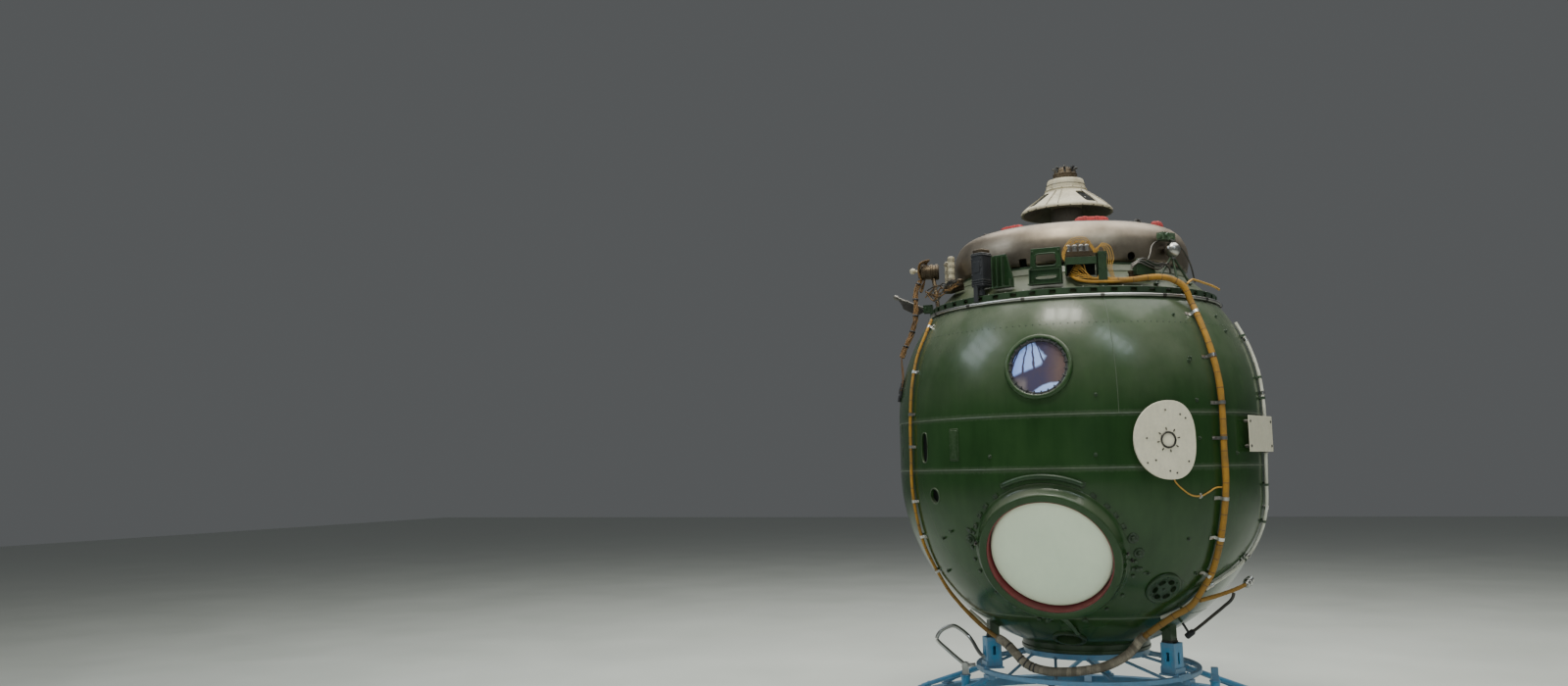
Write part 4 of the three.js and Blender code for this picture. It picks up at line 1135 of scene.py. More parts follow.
# %% Boss, seat and lid
make_piece("hatch_boss_ring", placed(turned([
    [0.345, 1.0], [0.372, 1.0], [0.372, 1.0373], [0.396, 1.0284], [0.4195, 1.0189], [0.4205, 1.0225],
    [0.418, 1.0262], [0.411, 1.031], [0.405, 1.037], [0.3995, 1.048], [0.395, 1.062], [0.3915, 1.078],
    [0.389, 1.088], [0.3865, 1.0935], [0.382, 1.097], [0.377, 1.098], [0.351, 1.098], [0.347, 1.0968],
    [0.345, 1.094],
], 160), HATCH), HULL_GREEN, replaces=("hatch_boss",))
make_piece("hatch_seal_seat", placed(turned([
    [0.339, 1.002], [0.3447, 1.002], [0.3447, 1.0895], [0.3435, 1.0912], [0.3405, 1.0912], [0.339, 1.089],
], 160), HATCH), SEAT_RED, replaces=("hatch_seat",))

lid_face = [[r, 1.068 - 0.0215 * (r / 0.319) ** 2] for r in np.linspace(0.0, 0.319, 20)]
lid_profile = [
    [0.0, 0.96], [0.34, 0.96], [0.352, 0.966], [0.358, 0.974], [0.358, 0.999], [0.333, 0.999], [0.333, 1.03]
]
lid_profile += [[0.3315, 1.0375], [0.327, 1.043]] + lid_face[::-1]

lid_arm = together(
    slab(0.084, 0.06, 0.016, 0.35, 0, 0.968), slab(0.024, 0.06, 0.016, 0.39, 0, 0.966),
    drum_between([0.398, -0.06, 0.958], [0.398, 0.06, 0.958], 0.015),
    stamped(
        disc(0.008, 0.0, 0.008, 6, 0.001),
        [shifted(x, y, 0.96) @ np.diag([1, -1, -1, 1]) for x in (0.315, 0.34) for y in (-0.02, 0.02)]
    )
)
lid_ribs = spun(slab(0.24, 0.012, 0.026, 0, 0, 0.948), evenly(8, 22.5), 0.19)
hub = turned([[0, 0.962], [0.06, 0.962], [0.06, 0.93], [0.052, 0.922], [0.0, 0.92]], 48, False)
make_piece(
    "hatch_dish", placed(together(turned(lid_profile, 160, False), lid_arm, hub, lid_ribs), HATCH), PALE,
    body="hatch", replaces=("hatch_lid",), sharp=28
)

# %% Lugs and fittings around the hatch
LUG_RADIUS = 0.43


def about_hatch(angle, radius, lift=0.0, turn=0.0):
    """Frames on the hull around the hatch, at an angle from its top: Z is the hull's normal, Y leads away."""
    angle = np.radians(np.asarray(angle, float))
    depth = np.sqrt(HULL**2 - np.asarray(radius, float) ** 2)
    local = np.stack([radius * np.sin(angle), radius * np.cos(angle), depth + 0 * angle], -1)
    places = local @ HATCH[:3, :3].T
    out = unit(places)
    away = places - HATCH[:3, 2] * (places @ HATCH[:3, 2])[..., None]
    away = unit(away - out * (away * out).sum(-1, keepdims=True))
    side = np.cross(away, out)
    turn = np.radians(turn)
    matrix = np.zeros(angle.shape + (4, 4))
    matrix[..., :3, 0] = math.cos(turn) * side + math.sin(turn) * away
    matrix[..., :3, 1] = math.cos(turn) * away - math.sin(turn) * side
    matrix[..., :3, 2] = out
    matrix[..., :3, 3] = out * (HULL + lift) + [0, 0, LOWER]
    matrix[..., 3, 3] = 1
    return matrix


lug_angles = [-69, -59, -50, -38, 38, 50, 59, 69]
lug = together(
    slab(0.03, 0.018, 0.008, 0, 0, 0.002), slab(0.0035, 0.02, 0.018, 0.014, 0, 0.007),
    slab(0.03, 0.0035, 0.014, 0, 0.009, 0.005)
)
lugs = make_piece("hatch_lugs", stamped(lug, about_hatch(lug_angles, LUG_RADIUS)), PART_GREEN)
softened(lugs, 0.0015)
small_lug_angles = [-88, -98, -108, 98, 110, 128, 145, -128, -145]
bolt_cap = disc(0.011, -0.002, 0.009, 6, 0.002)
fitting = together(
    disc(0.03, -0.003, 0.008, 24, 0.003), disc(0.017, 0.006, 0.022, 6, 0.003),
    disc(0.01, 0.02, 0.03, 16, 0.003)
)
bridge = together(slab(0.06, 0.016, 0.01, 0, 0, 0.002), disc(0.013, 0.0, 0.018, 20, 0.003))
make_piece("hatch_fittings", together(
    stamped(bolt_cap, about_hatch(small_lug_angles, 0.444)),
    stamped(fitting, about_hatch([-82, 80, 92], [0.452, 0.448, 0.462])),
    stamped(bridge, about_hatch([-75, 104, 164, 196], 0.455, turn=90)),
), PART_GREEN)

# %% Grab arch
ARCH_RADIUS, ARCH_SPREAD = 0.452, 29.0
arch_angles = np.linspace(-ARCH_SPREAD, ARCH_SPREAD, 17)
arch_line = about_hatch(arch_angles, ARCH_RADIUS, 0.02)[:, :3, 3]
arch_out = about_hatch(arch_angles, ARCH_RADIUS)[:, :3, 2]
arch_line = smooth_line(arch_line, 0.008)
arch_out = np.stack(
    [np.interp(np.linspace(0, 1, len(arch_line)), np.linspace(0, 1, 17), arch_out[:, k]) for k in range(3)],
    -1
)
arch_taper = np.clip(
    np.minimum(np.arange(len(arch_line)), np.arange(len(arch_line))[::-1]) / 3.0 + 0.55, 0, 1
)
arch_rail = hose(arch_line, 0.015 * arch_taper, 20, arch_out)[0]
feet = stamped(together(
    disc(0.014, -0.002, 0.02, 16), slab(0.044, 0.036, 0.006, 0, 0, 0.002),
    stamped(disc(0.004, 0.0, 0.009, 6, 0.001), [shifted(x) for x in (-0.017, 0.017)])
), about_hatch([-27, 0, 27], ARCH_RADIUS, 0.002))
make_piece("grab_arch", together(arch_rail, feet), PART_GREEN, replaces=("hatch_arch",))

# %% [markdown]
# ## Portholes and hull ports
#
# A porthole is a pane under a clamping ring. Small black clamps, each with a bolt, stand round the glass over
# a black seal and make the dark notched line that the photograph shows; their black paints the shade in that
# line.

# %% Portholes
porthole_profile = [
    [0.161, 1.04], [0.1708, 1.04], [0.1708, 1.0884], [0.178, 1.0872], [0.185, 1.086], [0.188, 1.0862],
    [0.1885, 1.0905], [0.1872, 1.095], [0.1845, 1.1], [0.1815, 1.104], [0.178, 1.1058], [0.169, 1.106],
    [0.166, 1.104], [0.164, 1.0995], [0.161, 1.0985]
]
CLAMPS = 24
SEAL = [[0.147, 1.0805], [0.1605, 1.0805], [0.1605, 1.0965], [0.15, 1.0965], [0.1475, 1.093]]
PANE = [
    [0.159, 1.06], [0.16, 1.0612], [0.16, 1.079], [0.159, 1.08],
    *[[r, 1.08] for r in np.linspace(0.15, 0.0, 9)]
]
for side, place in PORTHOLES.items():
    make_piece(
        f"{side}_porthole_frame", placed(turned(porthole_profile, 128), place), HULL_GREEN,
        replaces=(f"{side}_porthole_ring",)
    )
    # The clamps and the seal under them are black parts; their black also paints the shade in the notches
    # round the pane.
    lugs = spun(slab(0.0235, 0.0085, 0.006, 0, 0, 1.0985), evenly(CLAMPS, 180.0 / CLAMPS), 0.1545)
    softened(make_piece(f"{side}_porthole_clamps", placed(lugs, place), BLACK), 0.0015)
    make_piece(f"{side}_porthole_seal", placed(turned(SEAL, 128), place), BLACK)
    bolts = spun(disc(0.003, 1.101, 1.104, 6, 0.001), evenly(CLAMPS, 180.0 / CLAMPS), 0.1548)
    make_piece(f"{side}_porthole_bolts", placed(bolts, place), DARK_STEEL)
    points, faces = turned([[0.0, 1.06]] + PANE, 128, False)
    uv = np.array([points[corner, :2] / 0.16 for face in faces for corner in face])
    make_piece(
        f"{side}_porthole_pane", placed((points, faces), place), PAINTED_REFLECTION_GLASS,
        replaces=(f"{side}_porthole_glass",), uv=uv
    )

# %% Vent with oval holes, and the lower port
vent = make_piece("vent_cover", placed(turned([
    [0.0, 1.074], [0.083, 1.074], [0.083, 1.099], [0.1025, 1.097], [0.104, 1.0985], [0.104, 1.105],
    [0.1025, 1.108], [0.098, 1.111], [0.092, 1.112], [0.088, 1.1105], [0.0, 1.1105],
], 96, False), VENT), PART_GREEN, replaces=("vent_port",))
OVAL = np.diag([0.82, 1.15, 1.0, 1.0])
oval = placed(disc(0.021, 1.06, 1.2, 32), OVAL)
carved(vent, *(placed(spun(oval, [angle], 0.056), VENT) for angle in evenly(6)))
vent_rim = placed(
    turned([[0.0205, 1.1095], [0.0235, 1.1095], [0.0235, 1.1135], [0.0205, 1.1135]], 32), OVAL
)
make_piece("vent_trim", placed(together(
    spun(vent_rim, evenly(6), 0.056), disc(0.01, 1.108, 1.118, 6, 0.002),
    spun(disc(0.0055, 1.109, 1.115, 6, 0.001), evenly(6, 30.0), 0.078),
), VENT), PART_GREEN)

make_piece("low_port_ring", placed(turned([
    [0.0, 1.04], [0.081, 1.04], [0.081, 1.099], [0.0945, 1.0972], [0.096, 1.0985], [0.096, 1.106],
    [0.0945, 1.108], [0.0755, 1.108], [0.074, 1.1065], [0.074, 1.06], [0.07, 1.056], [0.0, 1.056],
], 96, False), LOW_PORT), PART_GREEN, replaces=("lower_port",))
make_piece("low_port_parts", placed(together(
    spun(disc(0.004, 1.107, 1.112, 6, 0.001), evenly(12), 0.085),
    disc(0.03, 1.054, 1.075, 32, 0.004), spun(disc(0.006, 1.054, 1.066, 6, 0.001), evenly(6), 0.052),
), LOW_PORT), DARK_STEEL)

# %% Sensor plate with its window, and the blank plate beside it
SENSOR = frames_at(35.1, 0.0, 1.722, 0.0)
SENSOR_REACH = {"left": (0.206, 2.0), "right": (0.153, 2.5)}


def sensor_outline():
    """An ellipse on the left and a superellipse on the right, both reaching 0.211 m up and down."""
    angle = 2 * np.pi * np.arange(96) / 96
    points = []
    for c, s in zip(np.cos(angle), np.sin(angle)):
        reach, power = SENSOR_REACH["left" if c < 0 else "right"]
        points.append([
            0.008 + reach * np.sign(c) * abs(c) ** (2 / power),
            0.211 * np.sign(s) * abs(s) ** (2 / power),
        ])
    return np.array(points)


sensor_disc = make_piece(
    "sensor_disc", placed(prism(sensor_outline(), 1.114, 1.126, 0.0015), SENSOR), WHITE,
    replaces=("sensor_plate",)
)
carved(sensor_disc, placed(disc(0.046, 1.1, 1.2, 48), SENSOR))
SENSOR_SCREWS = [
    [-0.01, 0.16], [0.075, 0.135], [0.105, 0.115], [-0.125, 0.01], [-0.127, -0.12], [-0.078, -0.107],
    [0.112, -0.116], [0.001, -0.165], [0.04, -0.176]
]
screw_frames = [shifted(x, y) for x, y in SENSOR_SCREWS]
posts = [shifted(x, y) for x in (-0.12, 0.11) for y in (0.09, -0.09)]
make_piece("sensor_fixings", placed(together(
    stamped(disc(0.0055, 1.1255, 1.1285, 12, 0.001), screw_frames),
    stamped(disc(0.012, 1.09, 1.1145, 16), posts),
    spun(slab(0.014, 0.006, 0.004, 0, 0, 1.127), evenly(8, 10.0), 0.06),
), SENSOR), DARK_STEEL)
make_piece("sensor_eye", placed(turned([
    [0.0, 1.102], [0.045, 1.102], [0.045, 1.13], [0.0435, 1.132], [0.0375, 1.132], [0.036, 1.13],
    [0.0355, 1.1235], [0.0, 1.1235],
], 64, False), SENSOR), DARK_STEEL, replaces=("sensor_window",))
make_piece("sensor_lens", placed(
    turned([[0.0, 1.1236], [0.035, 1.1236], [0.035, 1.1262], [0.02, 1.1275], [0.0, 1.128]], 48, False),
    SENSOR
), WHITE)

PLATE = frames_at(74.2, 0.0, 1.754, 0.0)
plate_posts = [shifted(x, y) for x in (-0.17, 0.17) for y in (-0.069, 0.069)]
plate_sheet = make_piece(
    "blank_plate", placed(slab(0.39, 0.202, 0.004, 0, 0, 1.125), PLATE), WHITE,
    replaces=("name_plate",)
)
softened(plate_sheet, 0.001)
make_piece("blank_plate_fixings", placed(together(
    stamped(disc(0.009, 1.0945, 1.1235, 16), plate_posts),
    stamped(disc(0.008, 1.1265, 1.1305, 16, 0.0015), plate_posts)
), PLATE), DARK_STEEL)

# %% [markdown]
# ## Docking unit
#
# On the deck stands the docking unit: a slotted flange with a pipe below it, a bare metal ring, and
# in the ring's mouth the plate that carries the cone. The probe slides out of the cone's neck.

# %% Slotted flange and the pipe below it
FLANGE, FLANGE_TOP = 0.871, 2.592
flange_foot = UPPER + math.sqrt(HULL**2 - (FLANGE - 0.006) ** 2) + 0.002
flange = make_piece("slotted_flange", turned([
    [FLANGE - 0.006, flange_foot], [FLANGE, flange_foot], [FLANGE, FLANGE_TOP - 0.002],
    [FLANGE - 0.002, FLANGE_TOP], [FLANGE - 0.034, FLANGE_TOP], [FLANGE - 0.034, FLANGE_TOP - 0.006],
    [FLANGE - 0.006, FLANGE_TOP - 0.006],
], 192), PART_GREEN, replaces=("top_flange",))
slot_angles = (np.arange(48) + 0.5) * 7.5
slot_shape = prism(rounded(0.036, 0.024, 4.0, 20), -0.03, 0.03)
carved(flange, stamped(slot_shape, frames_at(slot_angles, 0.0, 2.572, FLANGE)))
rim_bolts = stamped(
    disc(0.0055, 0.0, 0.0055, 6, 0.001), around(FLANGE - 0.017, FLANGE_TOP - 0.0005, slot_angles + 3.75)
)
make_piece("flange_bolts", rim_bolts, STEEL)

TRIM = 0.887
TRIM_HEIGHT = UPPER + math.sqrt((HULL + 0.012) ** 2 - TRIM**2)
make_piece("trim_pipe", tube_ring(TRIM, TRIM_HEIGHT, 0.01, 16), STEEL, replaces=("trim_ring",))
TRIM_CLAMPS = [-79, -55, -31, -7, 21.5, 45.5, 69.5, 93.5, 117.5, 141.5, 165.5, 189.5, 213.5, 237.5, 261.5]
band = together(*[
    hose(polar(np.linspace(at - 0.7, at + 0.7, 4), TRIM, TRIM_HEIGHT), 0.0122, 16)[0] for at in TRIM_CLAMPS
])
clamp_feet = stamped(
    together(slab(0.02, 0.03, 0.003, 0, 0.018, 0.0015), disc(0.0055, 0.0, 0.007, 6, 0.001)),
    on_hull(np.array(TRIM_CLAMPS), TRIM_HEIGHT + 0.018, 0.0005)
)
make_piece("trim_clamps", together(band, clamp_feet), DARK_STEEL)

# %% Docking base and ring
BASE, BASE_TOP, RING_TOP = 0.69, 2.757, 3.022
FOOT_GAP = 0.002  # how high a part's foot stands over the deck


def deck_at(radius):
    """Height of the deck's skin at a radius."""
    return UPPER + 2 * GAP + math.sqrt(HULL**2 - radius**2)


make_piece("docking_base_ring", turned([
    [BASE - 0.02, deck_at(BASE - 0.02) + 0.0045], [BASE + 0.008, deck_at(BASE + 0.008) + 0.0045],
    [BASE + 0.008, BASE_TOP - 0.003], [BASE + 0.005, BASE_TOP], [BASE - 0.02, BASE_TOP],
], 192), PART_GREEN, replaces=("docking_base",))
make_piece("docking_base_skirt", turned([
    [BASE + 0.006, deck_at(BASE + 0.03) + 0.002], [BASE + 0.034, deck_at(BASE + 0.034) + 0.0015],
    [BASE + 0.034, deck_at(BASE + 0.034) + 0.006], [BASE + 0.01, BASE_TOP - 0.014]
], 192), DECK_GREEN)

ring_curve = smooth_profile([
    [0.69, 2.7573], [0.706, 2.769], [0.713, 2.79], [0.72, 2.842], [0.716, 2.89], [0.706, 2.925],
    [0.684, 2.968], [0.656, 2.996], [0.626, 3.013], [0.595, 3.021]
], 0.006)
ring_profile = [[0.58, 2.7573]] + ring_curve + [
    [0.59, 3.022], [0.526, 3.022], [0.522, 3.0205], [0.52, 3.017], [0.52, 2.962]
]
ring = make_piece(
    "bare_ring", turned(ring_profile, 256), RING_METAL, replaces=("docking_ring",), sharp=40
)
RING_HOLES = ((-11.4, 2.781, "square"), (39.7, 2.791, "round"), (150.0, 2.79, "round"))


def ring_plugs(width, radius, low, high):
    """A plug for each hole in the ring, a rounded square or a disc, from low to high along the hole."""
    plugs = {"square": prism(rounded(width, width, 9.0), low, high), "round": disc(radius, low, high, 32)}
    return [
        placed(plugs[kind], frames_at(azimuth, 0.0, height, 0.7)) for azimuth, height, kind in RING_HOLES
    ]


carved(ring, *ring_plugs(0.046, 0.024, -0.035, 0.06), sharp=40)
# Near-black plugs at the bottom of the holes paint the shade inside them.
make_piece("ring_holes", together(*ring_plugs(0.0445, 0.0232, -0.033, -0.02)), PAINTED_SHADE_BLACK)
ring_screws = stamped(
    disc(0.0045, -0.001, 0.0025, 12, 0.0008), frames_at(np.arange(0, 360, 7.5), 0.0, 2.769, 0.7055)
)
lip_bolts = stamped(
    disc(0.007, -0.001, 0.007, 6, 0.0015), around(0.556, RING_TOP, np.arange(0, 360, 11.25))
)
make_piece("ring_fasteners", together(ring_screws, lip_bolts), DARK_STEEL)
guide = together(slab(0.06, 0.016, 0.03, 0, 0, 0.01), slab(0.03, 0.02, 0.014, 0, 0.002, 0.028))
guides = make_piece(
    "ring_guides", stamped(guide, around(0.538, RING_TOP, (-60, 60, 180))), DARK_STEEL
)
softened(guides, 0.002)

# %% Red covers that lie on the ring
COVER_RED = woven(
    "red_cover_cloth", (0.4, 0.014, 0.012), (0.22, 0.008, 0.008), (0.1, 0.008, 0.007), around=40.0,
    along=300.0, rough=0.7
)


def cloth_cover(azimuth, radius, width, depth, height):
    """A low cushion-like cover: a rounded outline whose upper side is crowned."""
    n, m = 25, 13
    u, v = np.meshgrid(np.linspace(-1, 1, n), np.linspace(-1, 1, m), indexing="ij")
    crown = np.clip(1 - abs(u) ** 8, 0, 1) ** 0.5 * np.clip(1 - abs(v) ** 6, 0, 1) ** 0.5
    wrinkle = 1 + 0.05 * np.sin(9 * u + 2 * v) + 0.04 * np.sin(17 * u - 5 * v)
    top = np.stack([u * width / 2, v * depth / 2, height * crown * wrinkle], -1).reshape(-1, 3)
    low = top * [1, 1, 0]
    faces = grid_faces(n, m)
    edge = np.concatenate([
        np.arange(m), np.arange(1, n) * m + m - 1, (n - 1) * m + np.arange(m - 2, -1, -1),
        np.arange(n - 2, 0, -1) * m
    ])
    wall = np.stack([edge, np.roll(edge, -1), np.roll(edge, -1) + n * m, edge + n * m], -1)
    shape = np.concatenate([top, low]), np.concatenate([faces, faces[:, ::-1] + n * m, wall])
    return placed(shape, standing(azimuth, radius, RING_TOP - 0.001))


covers = [
    cloth_cover(25, 0.545, 0.2, 0.06, 0.034), cloth_cover(-25, 0.56, 0.15, 0.05, 0.022),
    cloth_cover(77, 0.575, 0.08, 0.06, 0.036), cloth_cover(200, 0.555, 0.16, 0.055, 0.028)
]
cover_shape = together(*covers)
cover_uv = np.array([cover_shape[0][corner][:2] for face in cover_shape[1] for corner in face])
make_piece("red_covers", cover_shape, COVER_RED, uv=cover_uv, tidy=False, sharp=60)

# %% Docking plate with its ribs, seals and bolts
PLATE_TOP = 2.9
plate_profile = raised([
    [0.0, -0.06], [0.15, -0.06], [0.5375, -0.04], [0.532, -0.0205], [0.49, -0.02],
    [0.488, -0.024], [0.47, -0.024], [0.468, -0.02], [0.42, -0.02],
    [0.415, -0.019], [0.3, -0.001], [0.298, -0.0001], [0.0, -0.0001],
], PLATE_TOP)
make_piece(
    "docking_plate_dish", turned(plate_profile, 160, False), PART_GREEN,
    replaces=("docking_plate",)
)
make_piece("docking_plate_fittings", together(
    *[
        placed(slab(0.01, 0.12, 0.012, 0, 0, 0.004), standing(at, 0.365, PLATE_TOP - 0.01))
        for at in np.arange(0, 360, 22.5)
    ],
    stamped(disc(0.007, -0.001, 0.007, 6, 0.001), around(0.508, PLATE_TOP - 0.02, np.arange(0, 360, 9.0))),
    stamped(
        together(disc(0.026, -0.002, 0.022, 24, 0.003), disc(0.014, 0.02, 0.04, 16, 0.002)),
        around(0.44, PLATE_TOP - 0.021, (20, 110, 200, 290))
    )
), DARK_STEEL)

# %% Cone and neck
BELL_BOTTOM, NECK_BOTTOM, NECK_TOP, ROD = 3.186, 3.34, 3.408, 0.034
outer_cone = smooth_profile([
    [0.284, 3.201], [0.276, 3.212], [0.245, 3.238], [0.206, 3.268], [0.16, 3.302], [0.137, 3.32],
    [0.131, 3.33]
], 0.006)
cone_inside = [
    [ROD + 0.006, PLATE_TOP + 0.0003], [0.13, PLATE_TOP + 0.0003], [0.13, PLATE_TOP + 0.026],
    [0.127, PLATE_TOP + 0.03], [0.098, PLATE_TOP + 0.058], [0.096, PLATE_TOP + 0.064],
    [0.096, BELL_BOTTOM + 0.04], [0.11, NECK_BOTTOM - 0.04], [0.2, BELL_BOTTOM + 0.045],
    [0.273, BELL_BOTTOM + 0.001], [0.275, BELL_BOTTOM], [0.2835, BELL_BOTTOM],
    [0.285, BELL_BOTTOM + 0.0015], [0.285, BELL_BOTTOM + 0.01]
]
cone_neck = [
    [0.133, 3.336], [0.1325, 3.34], [0.127, 3.343], [0.124, 3.346], [0.1215, 3.362], [0.1165, 3.386],
    [0.113, 3.4], [0.109, 3.4062], [0.104, 3.408], [ROD + 0.006, 3.408]
]
cone = make_piece(
    "probe_cone", turned(cone_inside + outer_cone + cone_neck, 160), CREAM,
    replaces=("probe_bell",), sharp=35
)
CONE_SLOPE, CONE_CENTRE, CONE_REACH = 53.0, 2.986, 0.348
slot_frames = frames_at(np.array([46.0, 136.0, 226.0, 316.0]), CONE_SLOPE, CONE_CENTRE, 0.0)
carved(cone, stamped(prism(rounded(0.088, 0.15, 5.0), 0.27, 0.42), slot_frames), sharp=35)
print("cone faces:", len(cone.data.polygons))
# Near-black floors in the slots paint the shade inside them.
make_piece(
    "cone_slot_floors", stamped(prism(rounded(0.0876, 0.1496, 5.0), 0.335, 0.339), slot_frames), PAINTED_SHADE_BLACK,
)
rib_line = smooth_line([
    [r, 0.0, z + 0.002]
    for r, z in [[0.279, 3.208], [0.245, 3.239], [0.206, 3.269], [0.16, 3.303], [0.14, 3.319]]
], 0.01)
ribs = []
for at in (75, 165, 255, 345, 0, 52, 187, 232):
    turn = np.radians(at)
    line = np.stack([rib_line[:, 0] * math.sin(turn), -rib_line[:, 0] * math.cos(turn), rib_line[:, 2]], -1)
    ribs.append(hose(line, 0.0035, 8)[0])
cone_bolts = stamped(
    disc(0.0045, -0.001, 0.0045, 6, 0.001), frames_at(np.arange(0, 360, 15), 0.0, 3.191, 0.2848)
)
neck_bolts = stamped(disc(0.004, -0.001, 0.004, 6, 0.001), around(0.1285, 3.3415, np.arange(0, 360, 30)))
band_ring = turned([[0.118, 3.369], [0.1222, 3.369], [0.1212, 3.374], [0.117, 3.374]], 96)
make_piece("cone_fittings", together(*ribs, neck_bolts, band_ring), CREAM)
make_piece("cone_bolts", cone_bolts, DARK_STEEL)
latches = [
    placed(together(slab(0.036, 0.05, 0.016, 0, 0, 0.008), disc(0.008, 0.01, 0.024, 12, 0.002)), matrix)
    for matrix in frames_at(
        np.array([44.5, 134.5, 224.5, 314.5]), CONE_SLOPE, CONE_CENTRE, CONE_REACH - 0.03
    )
]
cone_parts = make_piece("cone_latches", together(*latches), DARK_STEEL)
softened(cone_parts, 0.002)
# Dark linings under the cone and inside its neck paint the shade there.
make_piece("cone_lining", together(
    turned([
        [0.1078, 3.2945], [0.197, 3.2255], [0.268, 3.184], [0.269, 3.1855], [0.198, 3.227], [0.109, 3.296]
    ], 128), turned([[0.0962, 2.975], [0.0978, 2.977], [0.0978, 3.214], [0.0962, 3.216]], 96)
), PAINTED_SHADE_BROWN)
make_piece(
    "ring_edge_seal",
    turned([[0.5935, 3.018], [0.6035, 3.0172], [0.6045, 3.019], [0.602, 3.0218], [0.594, 3.0219]], 192),
    BLACK
)

# %% Probe head, which slides
head_profile = [
    [0.0, PLATE_TOP + 0.06], [ROD - 0.002, PLATE_TOP + 0.06], [ROD, PLATE_TOP + 0.062],
    *raised([
        [ROD, 0.006], [0.074, 0.006], [0.076, 0.008], [0.076, 0.022], [0.0745, 0.024], [0.0745, 0.027],
        [0.076, 0.029], [0.076, 0.038], [0.074, 0.04], [0.0665, 0.044], [0.064, 0.052]
    ], NECK_TOP), [0.061, 3.47], [0.06, 3.475], [0.052, 3.479], [0.04, 3.48], [0.039, 3.4885],
    [0.037, 3.49], [0.018, 3.49], [0.017, 3.4935], [0.015, 3.494], [0.0, 3.494]
]
make_piece(
    "probe_head_body", turned(head_profile, 96, False), BRONZE, body="probe",
    replaces=("probe_head",)
)
head_latch = together(
    slab(0.014, 0.012, 0.04, 0, 0, 0.02), slab(0.014, 0.02, 0.01, 0, -0.006, 0.04),
    disc(0.004, 0.0, 0.046, 8, 0.001)
)
head_latches = make_piece(
    "probe_head_latches", stamped(head_latch, around(0.064, NECK_TOP + 0.036, np.arange(0, 360, 45) + 10)),
    DARK_STEEL, body="probe",
)
softened(head_latches, 0.001)
print("docking unit pieces done")

# %% [markdown]
# ## Harnesses and pipes
#
# Two cloth-wrapped harnesses run down the hull under strap clamps, and a painted pipe down its right side.
# A harness is never quite round: its radius swells a little where more wires run in it, and string ties
# nip it at short steps. It darkens towards its lower end.

# %% Straps, ties and wires
def strap(path, width, thick):
    """A flat strip bent along a path in X and Z: its width lies along Y."""
    path = np.asarray(path, float)
    step = unit(np.gradient(path, axis=0))
    outer = path + np.stack([-step[:, 1], step[:, 0]], -1) * thick
    corners = []
    for flat, side in ((path, -0.5), (outer, -0.5), (outer, 0.5), (path, 0.5)):
        corners.append(np.column_stack([flat[:, 0], np.full(len(flat), side * width), flat[:, 1]]))
    rows = np.stack(corners, 1)
    ends = [np.repeat(rows[k : k + 1].mean(1, keepdims=True), 4, 1) for k in (0, len(rows) - 1)]
    rows = np.concatenate([ends[0], rows, ends[1]])
    return rows.reshape(-1, 3), grid_faces(len(rows), 4, False, True)


def swelling(line, radius, amount=0.05):
    """A harness radius r (1 + a sin(21 s) sin(8.3 s + 1)), s being the distance along it."""
    run = run_of(line)
    return radius * (1 + amount * np.sin(21 * run) * np.sin(8.3 * run + 1.0))


def ties(line, radius, step, width=0.0045):
    """String ties: short rings round a harness, one at each step, none within 30 mm of an end."""
    run = run_of(line)
    made = []
    for middle in np.arange(0.03, run[-1] - 0.03, step):
        at = middle + np.array([-0.5, -0.25, 0.25, 0.5]) * width
        short = np.stack([np.interp(at, run, line[:, k]) for k in range(3)], -1)
        size = np.interp(middle, run, np.broadcast_to(radius, run.shape)) * np.array([1.0, 1.07, 1.07, 1.0])
        made.append(hose(short, size, 16, LEAN))
    return hoses(*made)


OFF_HULL = 0.09  # a line that is further off the hull than this runs over the deck


def frames_on_line(line, heights):
    """Frames on the hull's skin under a line at the given heights, with Y along the line."""
    made = []
    for height in heights:
        centre = min(max(height, LOWER), UPPER)
        out = line - [0, 0, centre]
        reach = np.linalg.norm(out, axis=1)
        apart = abs(centre + out[:, 2] * HULL / reach - height)
        at = int(np.argmin(np.where(reach > HULL + OFF_HULL, np.inf, apart)))
        along = line[min(at + 3, len(line) - 1)] - line[max(at - 3, 0)]
        along *= -1 if along[2] < 0 else 1
        azimuth = math.degrees(math.atan2(line[at, 0], -line[at, 1]))
        level = on_hull(azimuth, height)
        turn = math.degrees(math.atan2(-along @ level[:3, 0], along @ level[:3, 1]))
        made.append(on_hull(azimuth, height, turn=turn))
    return np.array(made)


STRAP_GAP = 0.0004  # between a strap and the skin or the harness below it


def clamp_strap(lift, radius, reach, width, mirror=1.0):
    """A strap over a harness at its lift: a long tab on one side and a short one on the other."""
    rise = np.linspace(180.0, 0.0, 13)
    over = np.stack([
        (radius + STRAP_GAP) * np.cos(np.radians(rise)),
        lift + (radius + STRAP_GAP) * np.sin(np.radians(rise))
    ], -1)
    left = [
        [-reach, STRAP_GAP], [-radius - 0.008, STRAP_GAP], [-radius - 0.0025, 0.002],
        [-radius - 0.0006, 0.007]
    ]
    right = [
        [radius + 0.0006, 0.007], [radius + 0.0025, 0.002], [radius + 0.008, STRAP_GAP],
        [radius + 0.018, STRAP_GAP]
    ]
    band = strap(np.concatenate([left, over, right]), width, 0.0018)
    screws = [shifted(-reach + 0.01), shifted(radius + 0.013)]
    heads = stamped(
        together(disc(0.0058, 0.0016, 0.003, 16), disc(0.0042, 0.0028, 0.0068, 6, 0.0012)), screws
    )
    points, faces = together(band, heads)
    return points * [mirror, 1.0, 1.0], faces if mirror > 0 else [
        face[::-1] for face in np.asarray(faces).tolist()
    ]


